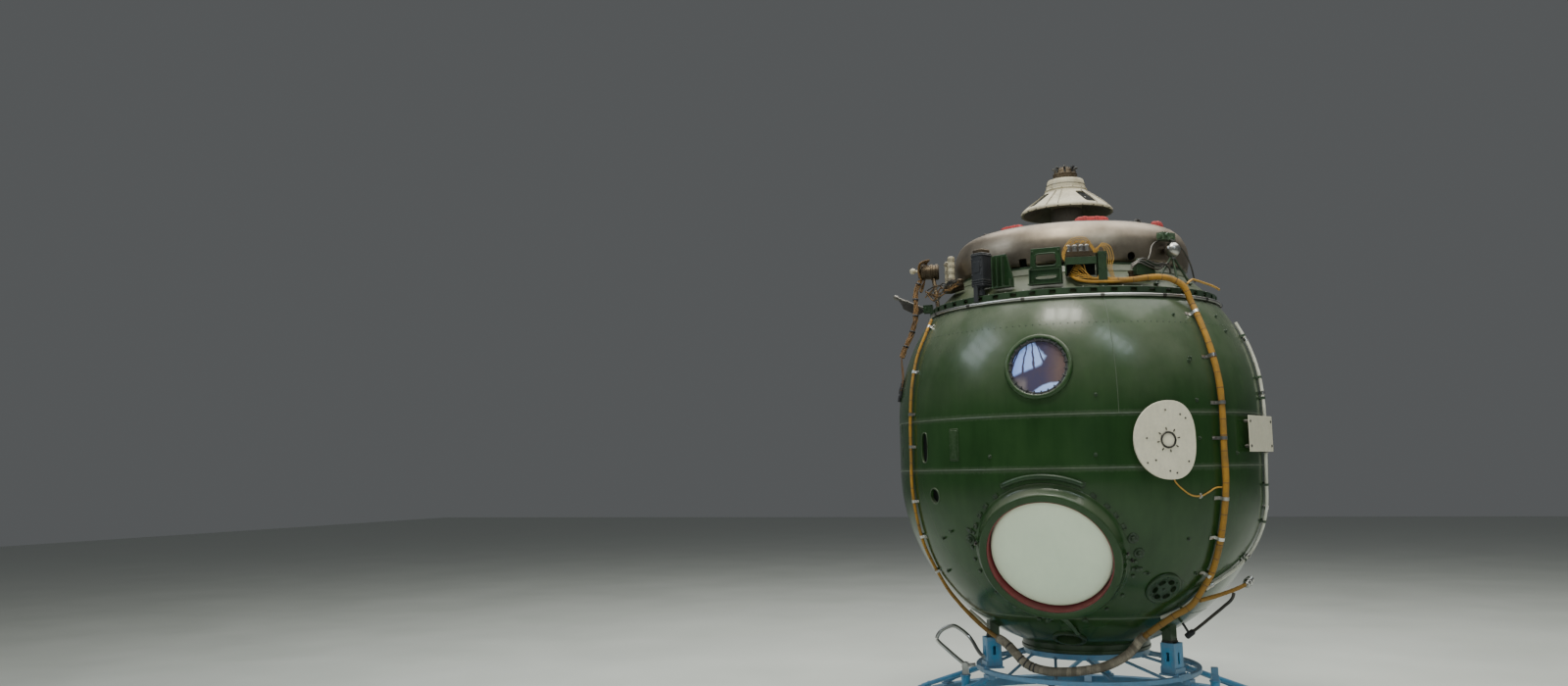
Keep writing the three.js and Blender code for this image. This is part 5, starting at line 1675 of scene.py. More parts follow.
def strands(line, count, spread_out, radius, turns):
    """Wires laid round a line, each carried round it a number of times, now nearer and now further."""
    run = run_of(line) / line_length(line)
    tangent = unit(np.gradient(line, axis=0))
    normal = unit(np.cross(tangent, [0.37, 0.21, 0.9]))
    across = np.cross(tangent, normal)
    made = []
    for number in range(count):
        phase = 2 * np.pi * (number / count + turns * run)
        reach = spread_out * (0.72 + 0.28 * np.sin(5.1 * np.pi * run + 2.4 * number))
        offset = np.cos(phase)[:, None] * normal + np.sin(phase)[:, None] * across
        made.append(hose(line + offset * reach[:, None], radius, 8, LEAN))
    return hoses(*made)


# %% Main harness
DECK_RUN = polar_rows([
    [21.0, 0.806, 2.65], [24.2, 0.816, 2.634], [28.0, 0.822, 2.63], [32.0, 0.826, 2.63],
    [36.0, 0.83, 2.635], [41.0, 0.84, 2.645], [46.0, 0.856, 2.648], [50.0, 0.88, 2.634], [53.6, 0.912, 2.59]
])
main_line = smooth_line(np.vstack([DECK_RUN, MAIN_POINTS]), 0.01)
main_radius = swelling(main_line, 0.0175)
make_drawn(
    "main_harness_wrap", hose(main_line, main_radius, 20, LEAN), HARNESS, ("main_harness",)
)
make_drawn("main_harness_ties", ties(main_line, main_radius, 0.086), BROWN)
MAIN_CLAMPS = [2.425, 2.177, 1.921, 1.729, 1.406, 1.194, 0.991]
make_piece(
    "main_clamps", stamped(clamp_strap(0.026, 0.0182, 0.06, 0.019), frames_on_line(main_line, MAIN_CLAMPS)),
    STEEL
)

# %% Left harness
left_line = smooth_line(LEFT_POINTS, 0.008)
left_run = run_of(left_line) / line_length(left_line)
left_radius = swelling(left_line, 0.009) * (1 + 0.45 * np.clip((left_run - 0.72) / 0.2, 0, 1))
make_drawn(
    "left_harness_wrap", hose(left_line, left_radius, 16, LEAN), HARNESS, ("left_harness",)
)
make_drawn("left_harness_ties", ties(left_line, left_radius, 0.075), BROWN)
LEFT_CLAMPS = [2.449, 2.169, 1.915, 1.723, 1.402, 1.195, 0.985]
left_clamp = clamp_strap(0.016, 0.0098, 0.044, 0.017, -1.0)
make_piece("left_clamps", stamped(left_clamp, frames_on_line(left_line, LEFT_CLAMPS)), STEEL)

# %% Side pipe
pipe_line = smooth_line(PIPE_POINTS, 0.01)
make_drawn("side_pipe_tube", hose(pipe_line, 0.0098, 16, LEAN), PIPE_PAINT, ("side_pipe",))
PIPE_CLAMPS = [2.33, 2.08, 1.96, 1.47, 1.26, 1.05, 0.9, 0.8]
pipe_clamp = clamp_strap(0.016, 0.0101, 0.034, 0.014)
make_piece(
    "pipe_clamps", stamped(pipe_clamp, frames_on_line(pipe_line, PIPE_CLAMPS)), PART_GREEN
)
collars = [hose(pipe_line[k - 1 : k + 2], 0.0135, 12, LEAN) for k in range(12, len(pipe_line) - 6, 34)]
make_drawn("pipe_collars", hoses(*collars), STEEL)

# %% Thin wires on the skin
def skin_wire(rows, radius, lift):
    """A thin wire that lies on the hull through rows of azimuth and height."""
    azimuth, height = np.array(rows).T
    return hose(hull_line(azimuth, height, lift, 0.006), radius, 10, LEAN)


sensor_wire = skin_wire([
    [36.7, 1.53], [37.2, 1.5], [39.1, 1.465], [42.3, 1.427], [45.7, 1.42], [48.5, 1.44], [51.1, 1.462],
    [54.0, 1.463]
], 0.0042, 0.0048)
make_drawn("sensor_wire", sensor_wire, THIN_WIRE)
wire_clip = together(
    slab(0.014, 0.03, 0.0016, 0, 0, 0.0008), slab(0.012, 0.012, 0.011, 0, -0.001, 0.0055),
    disc(0.004, 0.0, 0.006, 6, 0.001)
)
make_piece("wire_clip", stamped(wire_clip, on_hull(45.7, 1.42)[None]), STEEL)

# %% Branch and its connector
BRANCH = polar_rows([
    [55.3, 0.879, 0.838], [58.0, 0.889, 0.845], [63.0, 0.915, 0.86], [70.0, 0.955, 0.885],
    [76.0, 0.985, 0.908]
])
branch_line = smooth_line(BRANCH, 0.008)
make_drawn("branch_wrap", hoses(
    hose(branch_line, swelling(branch_line, 0.0112, 0.08), 16, LEAN), ties(branch_line, 0.0115, 0.05)
), HARNESS, ("harness_branch",))
start, end = polar(75.0, 0.985, 0.903), polar(80.0, 0.99, 0.93)
along = np.linspace(0, 1, 60)
# a stepped shell, ribbed on its further part
shell_radius = np.interp(
    along, [0, 0.1, 0.12, 0.42, 0.44, 0.56, 0.58, 0.95, 1],
    [0.013, 0.014, 0.02, 0.02, 0.026, 0.026, 0.022, 0.022, 0.019]
)
shell_radius = shell_radius - 0.0012 * ((along > 0.6) & (np.sin(along * 220) > 0))
make_drawn(
    "branch_connector", hose(start + (end - start) * along[:, None], shell_radius, 28), STEEL
)

# %% Bundle from the drive down to the hull
LEFT_BUNDLE = polar_rows([
    [-73, 0.94, 2.796], [-72, 0.965, 2.74], [-71, 0.975, 2.68], [-70, 0.975, 2.6], [-69, 0.985, 2.52],
    [-68, 1.01, 2.44], [-67, 1.045, 2.37], [-66, 1.08, 2.29],
])
bundle_line = smooth_line(LEFT_BUNDLE, 0.01)
make_drawn(
    "left_bundle_wires", strands(bundle_line, 6, 0.0135, 0.0042, 1.3), OLD_WIRE,
    ("left_bundle",)
)
make_drawn("left_bundle_dark", strands(bundle_line, 5, 0.015, 0.0034, -0.9), BROWN)
make_drawn("left_bundle_ties", ties(bundle_line, 0.0178, 0.11, 0.01), BLACK)
print("harness clamps:", len(MAIN_CLAMPS) + len(LEFT_CLAMPS) + len(PIPE_CLAMPS))

# %% [markdown]
# ## Deck equipment
#
# Between the flange and the docking ring stand a camera, two brackets, a shelf of connectors, a box and a
# pressure sphere on three legs. Their wires gather under the shelf and leave as the main harness.

# %% Blocks, columns and plates on the deck
UPRIGHT = np.array([[1.0, 0, 0, 0], [0, 0, -1.0, 0], [0, 1.0, 0, 0], [0, 0, 0, 1.0]])


def block_at(azimuth, radius, width, depth, low, high):
    """A block that stands at a place: its width along the rim, its depth towards the axis."""
    return placed(slab(width, depth, high - low, 0, 0, (low + high) / 2), standing(azimuth, radius, 0.0))


def column(azimuth, radius, profile, steps=32):
    """A turned part that stands at a place."""
    return placed(turned(profile, steps, False), standing(azimuth, radius, 0.0))


def on_face(azimuth, radius, places, lift, shape):
    """Copies of a small shape on an upright face that looks outwards, at places (x, z)."""
    frame_here = standing(azimuth, radius, 0.0)
    return stamped(shape, [frame_here @ shifted(x, -lift, z) @ UPRIGHT for x, z in places])


def plate_shape(outline, thick):
    """An upright plate: its outline in X and Z, made thick outwards."""
    return placed(prism(outline, 0.0, thick, 0.0015), UPRIGHT)


def ring_path(width, height, x, z, power):
    """A superellipse path in X and Z that goes round once and one point on, so that its tube closes."""
    flat = rounded(width, height, power, 40) + [x, z]
    flat = np.vstack([flat, flat[:2]])
    return np.stack([flat[:, 0], np.zeros(len(flat)), flat[:, 1]], -1)


BOLT = disc(0.0048, -0.001, 0.0042, 6, 0.001)
WASHER_BOLT = together(disc(0.0085, -0.001, 0.0016, 20, 0.0005), disc(0.0055, 0.001, 0.0062, 6, 0.0012))

# %% Camera box on its post
CASE_PLACE = standing(-27.0, 0.83, 0.0)
camera_shape = placed(prism(rounded(0.088, 0.092, 9.0, 40), 2.648, 2.85, 0.004), CASE_PLACE)
collars = [
    placed(prism(rounded(0.094, 0.098, 9.0, 40), low, low + 0.007, 0.002), CASE_PLACE)
    for low in (2.654, 2.668, 2.682, 2.832)
]
camera_case = make_piece("camera_case", together(
    camera_shape, *collars,
    column(-27.0, 0.845, [
        [0, 2.596], [0.028, 2.596], [0.028, 2.622], [0.022, 2.628], [0.022, 2.638], [0.026, 2.642],
        [0.026, 2.65], [0, 2.65]
    ]), block_at(-26.8, 0.868, 0.03, 0.05, 2.64, 2.6475),
    block_at(-26.8, 0.8905, 0.03, 0.008, 2.556, 2.6475),
    on_face(-27.0, 0.83, [(x, z) for x in (-0.034, 0.034) for z in (2.718, 2.765, 2.812)], 0.046, BOLT),
    placed(plate_shape(rounded(0.052, 0.066, 8.0) + [0, 2.765], 0.0035), standing(-27.0, 0.876, 0.0)),
), BLACK, replaces=("camera_box",))
softened(camera_case, 0.0012)
cap_top = placed(prism(rounded(0.074, 0.078, 7.0, 40), 2.851, 2.872, 0.004), CASE_PLACE)
knobs = stamped(
    disc(0.009, 2.87, 2.8738, 10, 0.002),
    [CASE_PLACE @ shifted(x, y, 0) for x, y in ((-0.02, -0.02), (0.018, -0.012), (0.0, 0.02))]
)
make_piece("camera_cap", together(cap_top, knobs), BRONZE)

# %% Brackets beside it
bracket_out = np.array([[-0.062, 0], [0.066, 0], [0.066, 0.045], [0.024, 0.198], [-0.058, 0.198]])
BRACKET_PLACE = standing(-17.2, 0.806, deck_at(0.8) + FOOT_GAP)
bracket = make_piece(
    "camera_bracket_plate", placed(plate_shape(bracket_out, 0.016), BRACKET_PLACE), PART_GREEN,
    replaces=("camera_bracket",)
)
softened(bracket, 0.0018)
bracket_foot = together(slab(0.13, 0.044, 0.007, 0, -0.026, 0.0035), *[
    slab(0.005, 0.03, high - 0.006, x, -0.03, high / 2 + 0.003)
    for x, high in ((-0.054, 0.19), (-0.022, 0.186), (0.012, 0.184), (0.06, 0.046))
])
bolts = stamped(WASHER_BOLT, [shifted(x, -0.04, 0.007) for x in (-0.028, 0.018)])
softened(make_piece(
    "camera_bracket_foot", placed(together(bracket_foot, bolts), BRACKET_PLACE), PART_GREEN
), 0.001)

WINDOW_PLACE = standing(1.0, 0.812, deck_at(0.806) + FOOT_GAP)
window_out = np.array([[-0.095, 0], [0.095, 0], [0.088, 0.212], [-0.078, 0.212]])
window = make_piece(
    "window_plate", placed(plate_shape(window_out, 0.018), WINDOW_PLACE), PART_GREEN,
    replaces=("window_frame",)
)
view_cut = placed(prism(rounded(0.118, 0.074, 7.0, 40) + [0.004, 0.1425], -0.01, 0.04), UPRIGHT)
slot_cut = placed(prism(rounded(0.124, 0.022, 3.0, 40) + [0.003, 0.042], -0.01, 0.04), UPRIGHT)
carved(window, placed(view_cut, WINDOW_PLACE), placed(slot_cut, WINDOW_PLACE))
softened(window, 0.0018)
edging = [
    hose(ring_path(0.118, 0.074, 0.004, 0.1425, 7.0) + [0, -0.018, 0], 0.0042, 10),
    hose(ring_path(0.124, 0.022, 0.003, 0.042, 3.0) + [0, -0.018, 0], 0.0034, 10)
]
window_ribs = together(
    slab(0.186, 0.01, 0.006, 0, -0.022, 0.088), slab(0.19, 0.04, 0.006, 0, -0.034, 0.003),
    slab(0.006, 0.026, 0.085, -0.088, -0.028, 0.044), slab(0.006, 0.026, 0.085, 0.088, -0.028, 0.044),
    edging[0][0], edging[1][0],
    stamped(WASHER_BOLT, [
        UPRIGHT @ shifted(x, z, 0.018)
        for x, z in (
            (-0.075, 0.02), (0.08, 0.02), (-0.07, 0.193), (0.078, 0.193), (-0.078, 0.1), (0.08, 0.1)
        )
    ])
)
make_piece("window_edging", placed(window_ribs, WINDOW_PLACE), PART_GREEN)

# %% Connector shelf
shelf = make_piece("connector_tray", together(
    block_at(14.8, 0.794, 0.168, 0.09, 2.752, 2.764), block_at(14.8, 0.841, 0.168, 0.006, 2.724, 2.766),
    block_at(8.9, 0.796, 0.008, 0.084, deck_at(0.752) + FOOT_GAP, 2.764),
    block_at(22.9, 0.8, 0.042, 0.07, deck_at(0.763) + FOOT_GAP, 2.795),
    block_at(22.9, 0.838, 0.05, 0.005, deck_at(0.833) + FOOT_GAP, 2.795),
    on_face(22.9, 0.838, [(x, z) for x in (-0.018, 0.018) for z in (2.62, 2.7, 2.78)], 0.0025, BOLT),
), PART_GREEN, replaces=("connector_shelf",))
# A near-black sheet behind the shelf paints the shade in the cavity under it.
make_piece(
    "shelf_back", block_at(14.8, 0.764, 0.164, 0.01, deck_at(0.757) + FOOT_GAP, 2.7515), PAINTED_SHADE_BLACK,
)
make_piece("connector_block", together(
    block_at(14.4, 0.792, 0.158, 0.062, 2.7645, 2.79), block_at(14.4, 0.792, 0.15, 0.054, 2.79, 2.802),
    on_face(14.4, 0.792, [(x, 2.778) for x in (-0.06, -0.02, 0.02, 0.06)], 0.031, BOLT),
), BRONZE)
softened(shelf, 0.0015)
PLUG_SIDES = [-0.054, -0.018, 0.018, 0.05]
plug_profile = [
    [0, 2.802], [0.016, 2.802], [0.016, 2.808], [0.0135, 2.81], [0.0135, 2.826], [0.015, 2.828],
    [0.015, 2.838], [0.011, 2.842], [0.0075, 2.8455], [0, 2.8455]
]
plug_frames = [standing(14.0, 0.792, 0.0) @ shifted(x) for x in PLUG_SIDES]
plugs = stamped(turned(plug_profile, 24, False), plug_frames)
ribs = stamped(spun(slab(0.0022, 0.003, 0.013, 0, 0, 2.818), evenly(14), 0.0138), plug_frames)
make_piece("connector_plugs", together(plugs, ribs), STEEL)


def wire(rows, radius=0.0034, sides=8):
    """A wire through places of azimuth, radius and height."""
    return hose(smooth_line(polar_rows(rows), 0.006), radius, sides, LEAN)


arches = []
for s in (-1.5, -0.5, 0.5, 1.5):
    arches.append(wire([
        [9.2 + 0.3 * s, 0.822, 2.726 + 0.004 * s], [8.3 - 0.3 * s, 0.82, 2.772],
        [8.8 - 0.3 * s, 0.812, 2.818 + 0.003 * s], [11.0, 0.804 + 0.004 * s, 2.858 + 0.0095 * s],
        [14.4, 0.8 + 0.004 * s, 2.873 + 0.009 * s], [17.6, 0.8 + 0.004 * s, 2.861 + 0.0095 * s],
        [19.9 + 0.3 * s, 0.8, 2.822], [20.6 + 0.3 * s, 0.8, 2.796]
    ], 0.002))
    arches.append(wire([
        [21.2 + 0.4 * s, 0.806 + 0.003 * s, 2.794], [21.6 + 0.4 * s, 0.812 + 0.003 * s, 2.82 + 0.003 * s],
        [23.4 + 0.1 * s, 0.818, 2.836 + 0.006 * s], [25.4 + 0.7 * s, 0.82 + 0.003 * s, 2.812 + 0.007 * s],
        [26.3 + 0.9 * s, 0.821, 2.762], [26.0 + 0.5 * s, 0.822 + 0.003 * s, 2.705],
        [27.2 + 0.3 * s, 0.823 + 0.004 * s, 2.644]
    ], 0.002))
for side in PLUG_SIDES:
    azimuth = 14.0 + math.degrees(side / 0.792)
    arches.append(wire([
        [azimuth, 0.792, 2.843], [azimuth + 0.05, 0.793, 2.852], [azimuth + 0.4, 0.797, 2.859],
        [azimuth + 1.4, 0.8, 2.861]
    ], 0.003))
make_drawn("connector_wires", hoses(*arches), THIN_WIRE)

heap = []
chance = np.random.default_rng(7)
for number in range(9):
    a, r, h = chance.uniform(-1, 1, (3, 6))
    level = 2.655 + 0.009 * number
    heap.append(wire([
        [9.8 + 0.4 * number, 0.776, level + 0.018],
        [10.2 + 0.45 * number, 0.795 + 0.003 * r[0], level + 0.01],
        [11.4 + 0.5 * number + 0.5 * a[1], 0.812 + 0.005 * r[1], level],
        [
            14.8 + 0.3 * number + 0.6 * a[2], 0.824 + 0.005 * r[2],
            2.648 + 0.45 * (level - 2.655) + 0.003 * h[2]
        ], [19.0 + 1.0 * a[4], 0.826 + 0.006 * r[4], 2.642 + 0.006 * h[4]],
        [24.0, 0.83 + 0.006 * r[5], 2.638 + 0.006 * h[5]], [28.0, 0.824, 2.635 + 0.005 * h[5]]
    ], 0.0026))
make_drawn("shelf_wires", hoses(*heap), THIN_WIRE)
thick_line = smooth_line(polar_rows([
    [11.0, 0.8, 2.668], [12.0, 0.822, 2.65], [14.0, 0.836, 2.634], [18.0, 0.842, 2.622],
    [22.0, 0.845, 2.62], [27.5, 0.838, 2.62], [31.0, 0.832, 2.624]
]), 0.008)
make_drawn(
    "shelf_bundle",
    hoses(hose(thick_line, swelling(thick_line, 0.0085), 16, LEAN), ties(thick_line, 0.0087, 0.045)),
    HARNESS
)
second_line = smooth_line(polar_rows([
    [56.0, 0.905, 2.612], [60.0, 0.88, 2.636], [64.0, 0.862, 2.65], [70.0, 0.872, 2.64],
    [77.0, 0.89, 2.628], [83.0, 0.9, 2.618]
]), 0.008)
make_drawn(
    "rim_wire", hoses(hose(second_line, 0.0062, 12, LEAN), ties(second_line, 0.0062, 0.05)), THIN_WIRE,
)

# %% Deck box and valves beside it
box_low = deck_at(0.762) + FOOT_GAP
deck_case = make_piece("deck_case", together(
    block_at(42.0, 0.784, 0.12, 0.044, box_low, 2.742), block_at(42.0, 0.784, 0.128, 0.05, 2.73, 2.736),
    on_face(42.0, 0.784, [(x, z) for x in (-0.05, 0.05) for z in (2.69, 2.715)], 0.022, BOLT),
    column(39.5, 0.784, [[0, 2.74], [0.014, 2.74], [0.014, 2.758], [0.01, 2.762], [0, 2.762]], 16),
    column(44.0, 0.784, [[0, 2.74], [0.011, 2.74], [0.011, 2.752], [0, 2.754]], 16),
), PART_GREEN, replaces=("deck_box",))
softened(deck_case, 0.0012)
low = deck_at(0.79) - 0.004
make_piece("deck_valves", together(
    column(36.0, 0.78, raised([
        [0, 0.0], [0.02, 0.0], [0.02, 0.02], [0.012, 0.024], [0.012, 0.046], [0.017, 0.048], [0.017, 0.058],
        [0, 0.06]
    ], low), 20), drum_between(polar(36.0, 0.78, low + 0.034), polar(39.6, 0.776, low + 0.034), 0.008),
    drum_between(polar(39.6, 0.776, low + 0.03), polar(40.2, 0.776, low + 0.038), 0.014),
    column(
        47.5, 0.768,
        raised([[0, 0.01], [0.016, 0.01], [0.016, 0.052], [0.008, 0.056], [0.008, 0.075], [0, 0.075]], low),
        20
    ), column(51.0, 0.768, raised([[0, 0.01], [0.012, 0.01], [0.012, 0.04], [0, 0.044]], low), 20)
), BRONZE)

# %% Pressure sphere on three legs
SPHERE_AT, BODY_AT = (60.0, 0.77), (58.0, 0.752)
ball = placed(turned(arc(0.0455, 0.0, -90, 90, 24), 48, False), standing(*SPHERE_AT, 2.834))
neck = column(
    *SPHERE_AT, [[0, 2.778], [0.018, 2.778], [0.018, 2.786], [0.013, 2.79], [0.013, 2.802], [0.0, 2.802]]
)
cap = column(*SPHERE_AT, [
    [0, 2.872], [0.012, 2.872], [0.012, 2.884], [0.0175, 2.886], [0.0175, 2.896], [0.011, 2.9],
    [0.011, 2.908], [0, 2.908]
])
band = column(
    *SPHERE_AT,
    [[0.04, 2.83], [0.0466, 2.83], [0.0472, 2.832], [0.0472, 2.836], [0.0466, 2.838], [0.04, 2.838]], 48
)
make_piece("pressure_sphere", together(ball, neck, cap, band), STEEL, replaces=("valve_unit",))
legs = []
for azimuth, radius in ((46.0, 0.815), (58.0, 0.822), (70.0, 0.79)):
    foot = deck_at(radius) + 0.006
    legs.append(drum_between(
        polar(azimuth, radius, foot), polar(60.0 + (azimuth - 60.0) * 0.08, 0.77, 2.79), 0.0062, 12
    ))
    legs.append(column(
        azimuth, radius,
        raised([[0, -0.004], [0.015, -0.004], [0.015, 0.002], [0.009, 0.008], [0, 0.01]], foot), 16
    ))
make_piece("sphere_legs", together(*legs), PART_GREEN)
body = make_piece("sphere_valves", together(
    block_at(*BODY_AT, 0.11, 0.044, 2.888, 2.934), block_at(*BODY_AT, 0.116, 0.012, 2.906, 2.916),
    placed(drum_between([-0.07, 0, 2.91], [0.066, 0, 2.91], 0.015), standing(*BODY_AT, 0.0)),
    placed(drum_between([-0.03, -0.04, 2.914], [-0.03, 0.0, 2.914], 0.013), standing(*BODY_AT, 0.0)),
    placed(drum_between([0.022, -0.036, 2.9], [0.022, 0.0, 2.9], 0.01), standing(*BODY_AT, 0.0)),
    on_face(*BODY_AT, [(x, z) for x in (-0.048, 0.0, 0.048) for z in (2.894, 2.928)], 0.022, BOLT),
), EDGE_GREEN)
softened(body, 0.0015)
deck_pipes = [wire([
    [35.5, 0.8, 2.7 + 0.012 * k], [38.5 + k, 0.812, 2.735 + 0.012 * k],
    [43.0 + k, 0.818 - 0.004 * k, 2.712 + 0.014 * k], [47.5, 0.812, 2.7 + 0.016 * k],
    [51.5, 0.8, 2.728 + 0.006 * k], [55.5, 0.788, 2.745 - 0.012 * k], [57.0, 0.78, 2.69]
], 0.0052) for k in range(3)]
make_drawn("deck_pipes", hoses(*deck_pipes), DARK_STEEL)
pipes = [
    wire([[58.0, 0.735, 2.905], [50.0, 0.745, 2.86], [46.0, 0.776, 2.79], [44.0, 0.784, 2.752]], 0.0045),
    wire([[63.0, 0.76, 2.89], [68.0, 0.775, 2.84], [72.0, 0.79, 2.76], [74.0, 0.8, 2.655]], 0.0045)
]
make_drawn("sphere_pipes", hoses(*pipes), DARK_STEEL)
print("deck wires:", len(arches) + len(heap))

# %% [markdown]
# ## Left group
#
# At the left stand a drive with loops of wire, some valves and a folding antenna on its bracket.

# %% Drive and valves
def along_axis(azimuth, start, end, profile, steps=36):
    """A turned part whose axis runs outwards: its profile is of (radius, share of the way)."""
    first, last = polar(azimuth, *start), polar(azimuth, *end)
    out = unit(last - first)
    side = unit(np.cross([0, 0, 1.0], out))
    reach = np.linalg.norm(last - first)
    shape = turned([[r, share * reach] for r, share in profile], steps, False)
    return placed(shape, axes_matrix(side, np.cross(out, side), out, first))


DRIVE = -74.0
drive_body = along_axis(DRIVE, (0.82, 2.85), (0.95, 2.85), [
    [0, 0], [0.044, 0], [0.052, 0.06], [0.052, 0.16], [0.047, 0.18], [0.047, 0.3], [0.052, 0.32],
    [0.052, 0.4], [0.047, 0.42], [0.047, 0.66], [0.052, 0.68], [0.052, 0.86], [0.045, 0.93], [0.026, 0.96],
    [0.026, 1.0], [0, 1.0]
])
drive_feet = together(*[
    drum_between(polar(azimuth, 0.835, deck_at(0.828) + 0.006), polar(DRIVE, 0.86, 2.846), 0.0125, 14)
    for azimuth in (-68.0, -80.0)
])
drive_bolts = together(*[along_axis(
    DRIVE + turn, (0.945, 2.85 + rise), (0.955, 2.85 + rise), [[0, 0], [0.005, 0], [0.005, 1], [0, 1]], 6
) for turn, rise in ((2.0, 0.0), (-2.0, 0.0), (0.0, 0.033), (0.0, -0.033))])
make_piece(
    "drive_body", together(drive_body, drive_feet, drive_bolts), BRONZE,
    replaces=("left_drive",)
)
make_piece("drive_rod", along_axis(DRIVE, (0.948, 2.858), (1.008, 2.862), [
    [0, 0], [0.008, 0], [0.008, 0.36],
    *[
        [0.0198 * math.cos(math.radians(e)), 0.66 + 0.33 * math.sin(math.radians(e))]
        for e in range(-66, 90, 12)
    ], [0, 0.99]
], 28), CREAM)
loops = []
for number in range(5):
    swing = number - 2.0
    loops.append(wire([
        [-73.0 + 0.5 * swing, 0.935, 2.8], [-71.5 + 0.4 * swing, 0.952, 2.838 + 0.004 * number],
        [-70.0 + 0.3 * swing, 0.94, 2.884 + 0.004 * number],
        [-72.0 + 0.3 * swing, 0.905 - 0.012 * swing, 2.914 + 0.005 * swing],
        [-75.2 + 0.3 * swing, 0.9, 2.906], [-76.4 + 0.2 * swing, 0.902, 2.86 + 0.008 * swing],
        [-75.8 + 0.3 * swing, 0.92, 2.792 - 0.006 * number],
        [-73.5 + 0.5 * swing, 0.935, 2.76 - 0.01 * number], [-71.0, 0.945, 2.722]
    ], 0.0042))
make_drawn("drive_wires", hoses(*loops), OLD_WIRE)


def ribbed(low, high, radius, count):
    """Profile of a column with a number of raised collars."""
    rows = [[0, low], [radius * 0.86, low]]
    for k in range(count):
        middle = low + (high - low) * (k + 0.5) / count
        half = 0.18 * (high - low) / count
        rows += [
            [radius * 0.86, middle - half - 0.001], [radius, middle - half], [radius, middle + half],
            [radius * 0.86, middle + half + 0.001]
        ]
    return rows + [[radius * 0.86, high - 0.004], [radius * 0.6, high], [0, high]]


make_piece("valve_columns", together(
    column(-56.0, 0.78, ribbed(2.7, 2.903, 0.024, 5)), column(-61.0, 0.785, ribbed(2.7, 2.883, 0.02, 4)),
    placed(drum_between([-0.03, -0.024, 2.862], [0.012, -0.024, 2.862], 0.009), standing(-58.0, 0.78, 0.0)),
), CREAM, replaces=("left_valves",))
blocks = make_piece("valve_blocks", together(
    block_at(-58.5, 0.782, 0.1, 0.056, deck_at(0.745) + FOOT_GAP, 2.72),
    block_at(-50.0, 0.79, 0.15, 0.052, deck_at(0.755) + FOOT_GAP, 2.7),
    column(-44.0, 0.8, ribbed(2.69, 2.735, 0.024, 2)), column(-50.0, 0.8, ribbed(2.69, 2.75, 0.02, 2)),
    on_face(-50.0, 0.79, [(x, 2.69) for x in (-0.06, -0.02, 0.02, 0.06)], 0.026, BOLT)
), BRONZE)
softened(blocks, 0.0015)
tangle = []
for number in range(9):
    a, r, h = chance.uniform(-1, 1, (3, 5))
    tangle.append(wire([
        [-44.0 + 1.5 * a[0], 0.815 + 0.01 * r[0], 2.71 + 0.02 * h[0]],
        [-50.0 + 2.0 * a[1], 0.835 + 0.01 * r[1], 2.7 + 0.035 * h[1]],
        [-57.0 + 2.0 * a[2], 0.845 + 0.012 * r[2], 2.7 + 0.05 * h[2]],
        [-64.0 + 2.0 * a[3], 0.865 + 0.012 * r[3], 2.69 + 0.05 * h[3]],
        [-71.0 + 1.0 * a[4], 0.905 + 0.01 * r[4], 2.7 + 0.03 * h[4]]
    ], 0.004))
make_drawn("valve_wires", hoses(*tangle[:4]), OLD_WIRE)
make_drawn("valve_pipes", hoses(*tangle[4:]), DARK_STEEL)

# %% [markdown]
# ## Antenna, small fittings and the lower hatch
#
# The antenna folds on a pin between two plates. Caps, clips, a belt panel, a handle and a few leads sit on
# the hull, with a slot and a round hole at the left, and the lower frame holds the transfer hatch.

# %% Folding antenna arm on its bracket
ARM = standing(-80.0, 0.915, 2.622)
TIP = np.array([0.0, -0.205, 0.092])


def arm_piece(name, shape, material, body=ROOT, replaces=()):
    return make_piece(name, placed(shape, ARM), material, body, replaces)


blade = np.array(
    [[-0.01, 0.004], [-0.19, 0.085], [-0.158, 0.034], [-0.15, 0.01], [-0.06, -0.038], [-0.022, -0.02]]
)
blade_points = placed(
    prism(blade, -0.004, 0.004, 0.0012),
    np.array([[0, 0, 1.0, 0], [1.0, 0, 0, 0], [0, 1.0, 0, 0], [0, 0, 0, 1.0]])
)
collar = [
    drum_between(TIP * start, TIP * end, size, 18)
    for start, end, size in (
        (0.88, 0.91, 0.013), (0.91, 1.0, 0.0158), (1.0, 1.02, 0.012), (0.3, 0.33, 0.0105),
        (0.6, 0.63, 0.0105)
    )
]
bosses = [
    drum_between([0.0035, y, z], [0.0062, y, z], 0.007, 12)
    for y, z in ((-0.055, 0.01), (-0.1, 0.03), (-0.145, 0.045))
]
arm_piece("antenna_blade", together(
    blade_points, drum_between([-0.018, 0, 0], [0.018, 0, 0], 0.012, 20),
    drum_between([-0.0176, 0, 0], [-0.012, 0, 0], 0.014, 20),
    drum_between([0.012, 0, 0], [0.0176, 0, 0], 0.014, 20),
    drum_between(TIP * 0.02, TIP * 0.95, 0.0078, 16), *collar, *bosses,
), DARK_STEEL, "antenna", ("antenna_arm",))
bracket_shape = together(
    slab(0.008, 0.046, 0.052, -0.025, 0.006, 0), slab(0.008, 0.046, 0.052, 0.025, 0.006, 0),
    slab(0.058, 0.014, 0.094, 0, 0.036, -0.019),
    *[drum_between([side * 0.0292, 0, 0], [side * 0.0325, 0, 0], 0.01, 6) for side in (-1, 1)],
    *[
        drum_between([x, 0.03, z], [x, 0.026, z], 0.0055, 6) for x in (-0.012, 0.012)
        for z in (-0.04, -0.055)
    ]
)
softened(arm_piece(
    "antenna_bracket_plates", bracket_shape, PART_GREEN, ROOT, ("antenna_bracket",)
), 0.0016)

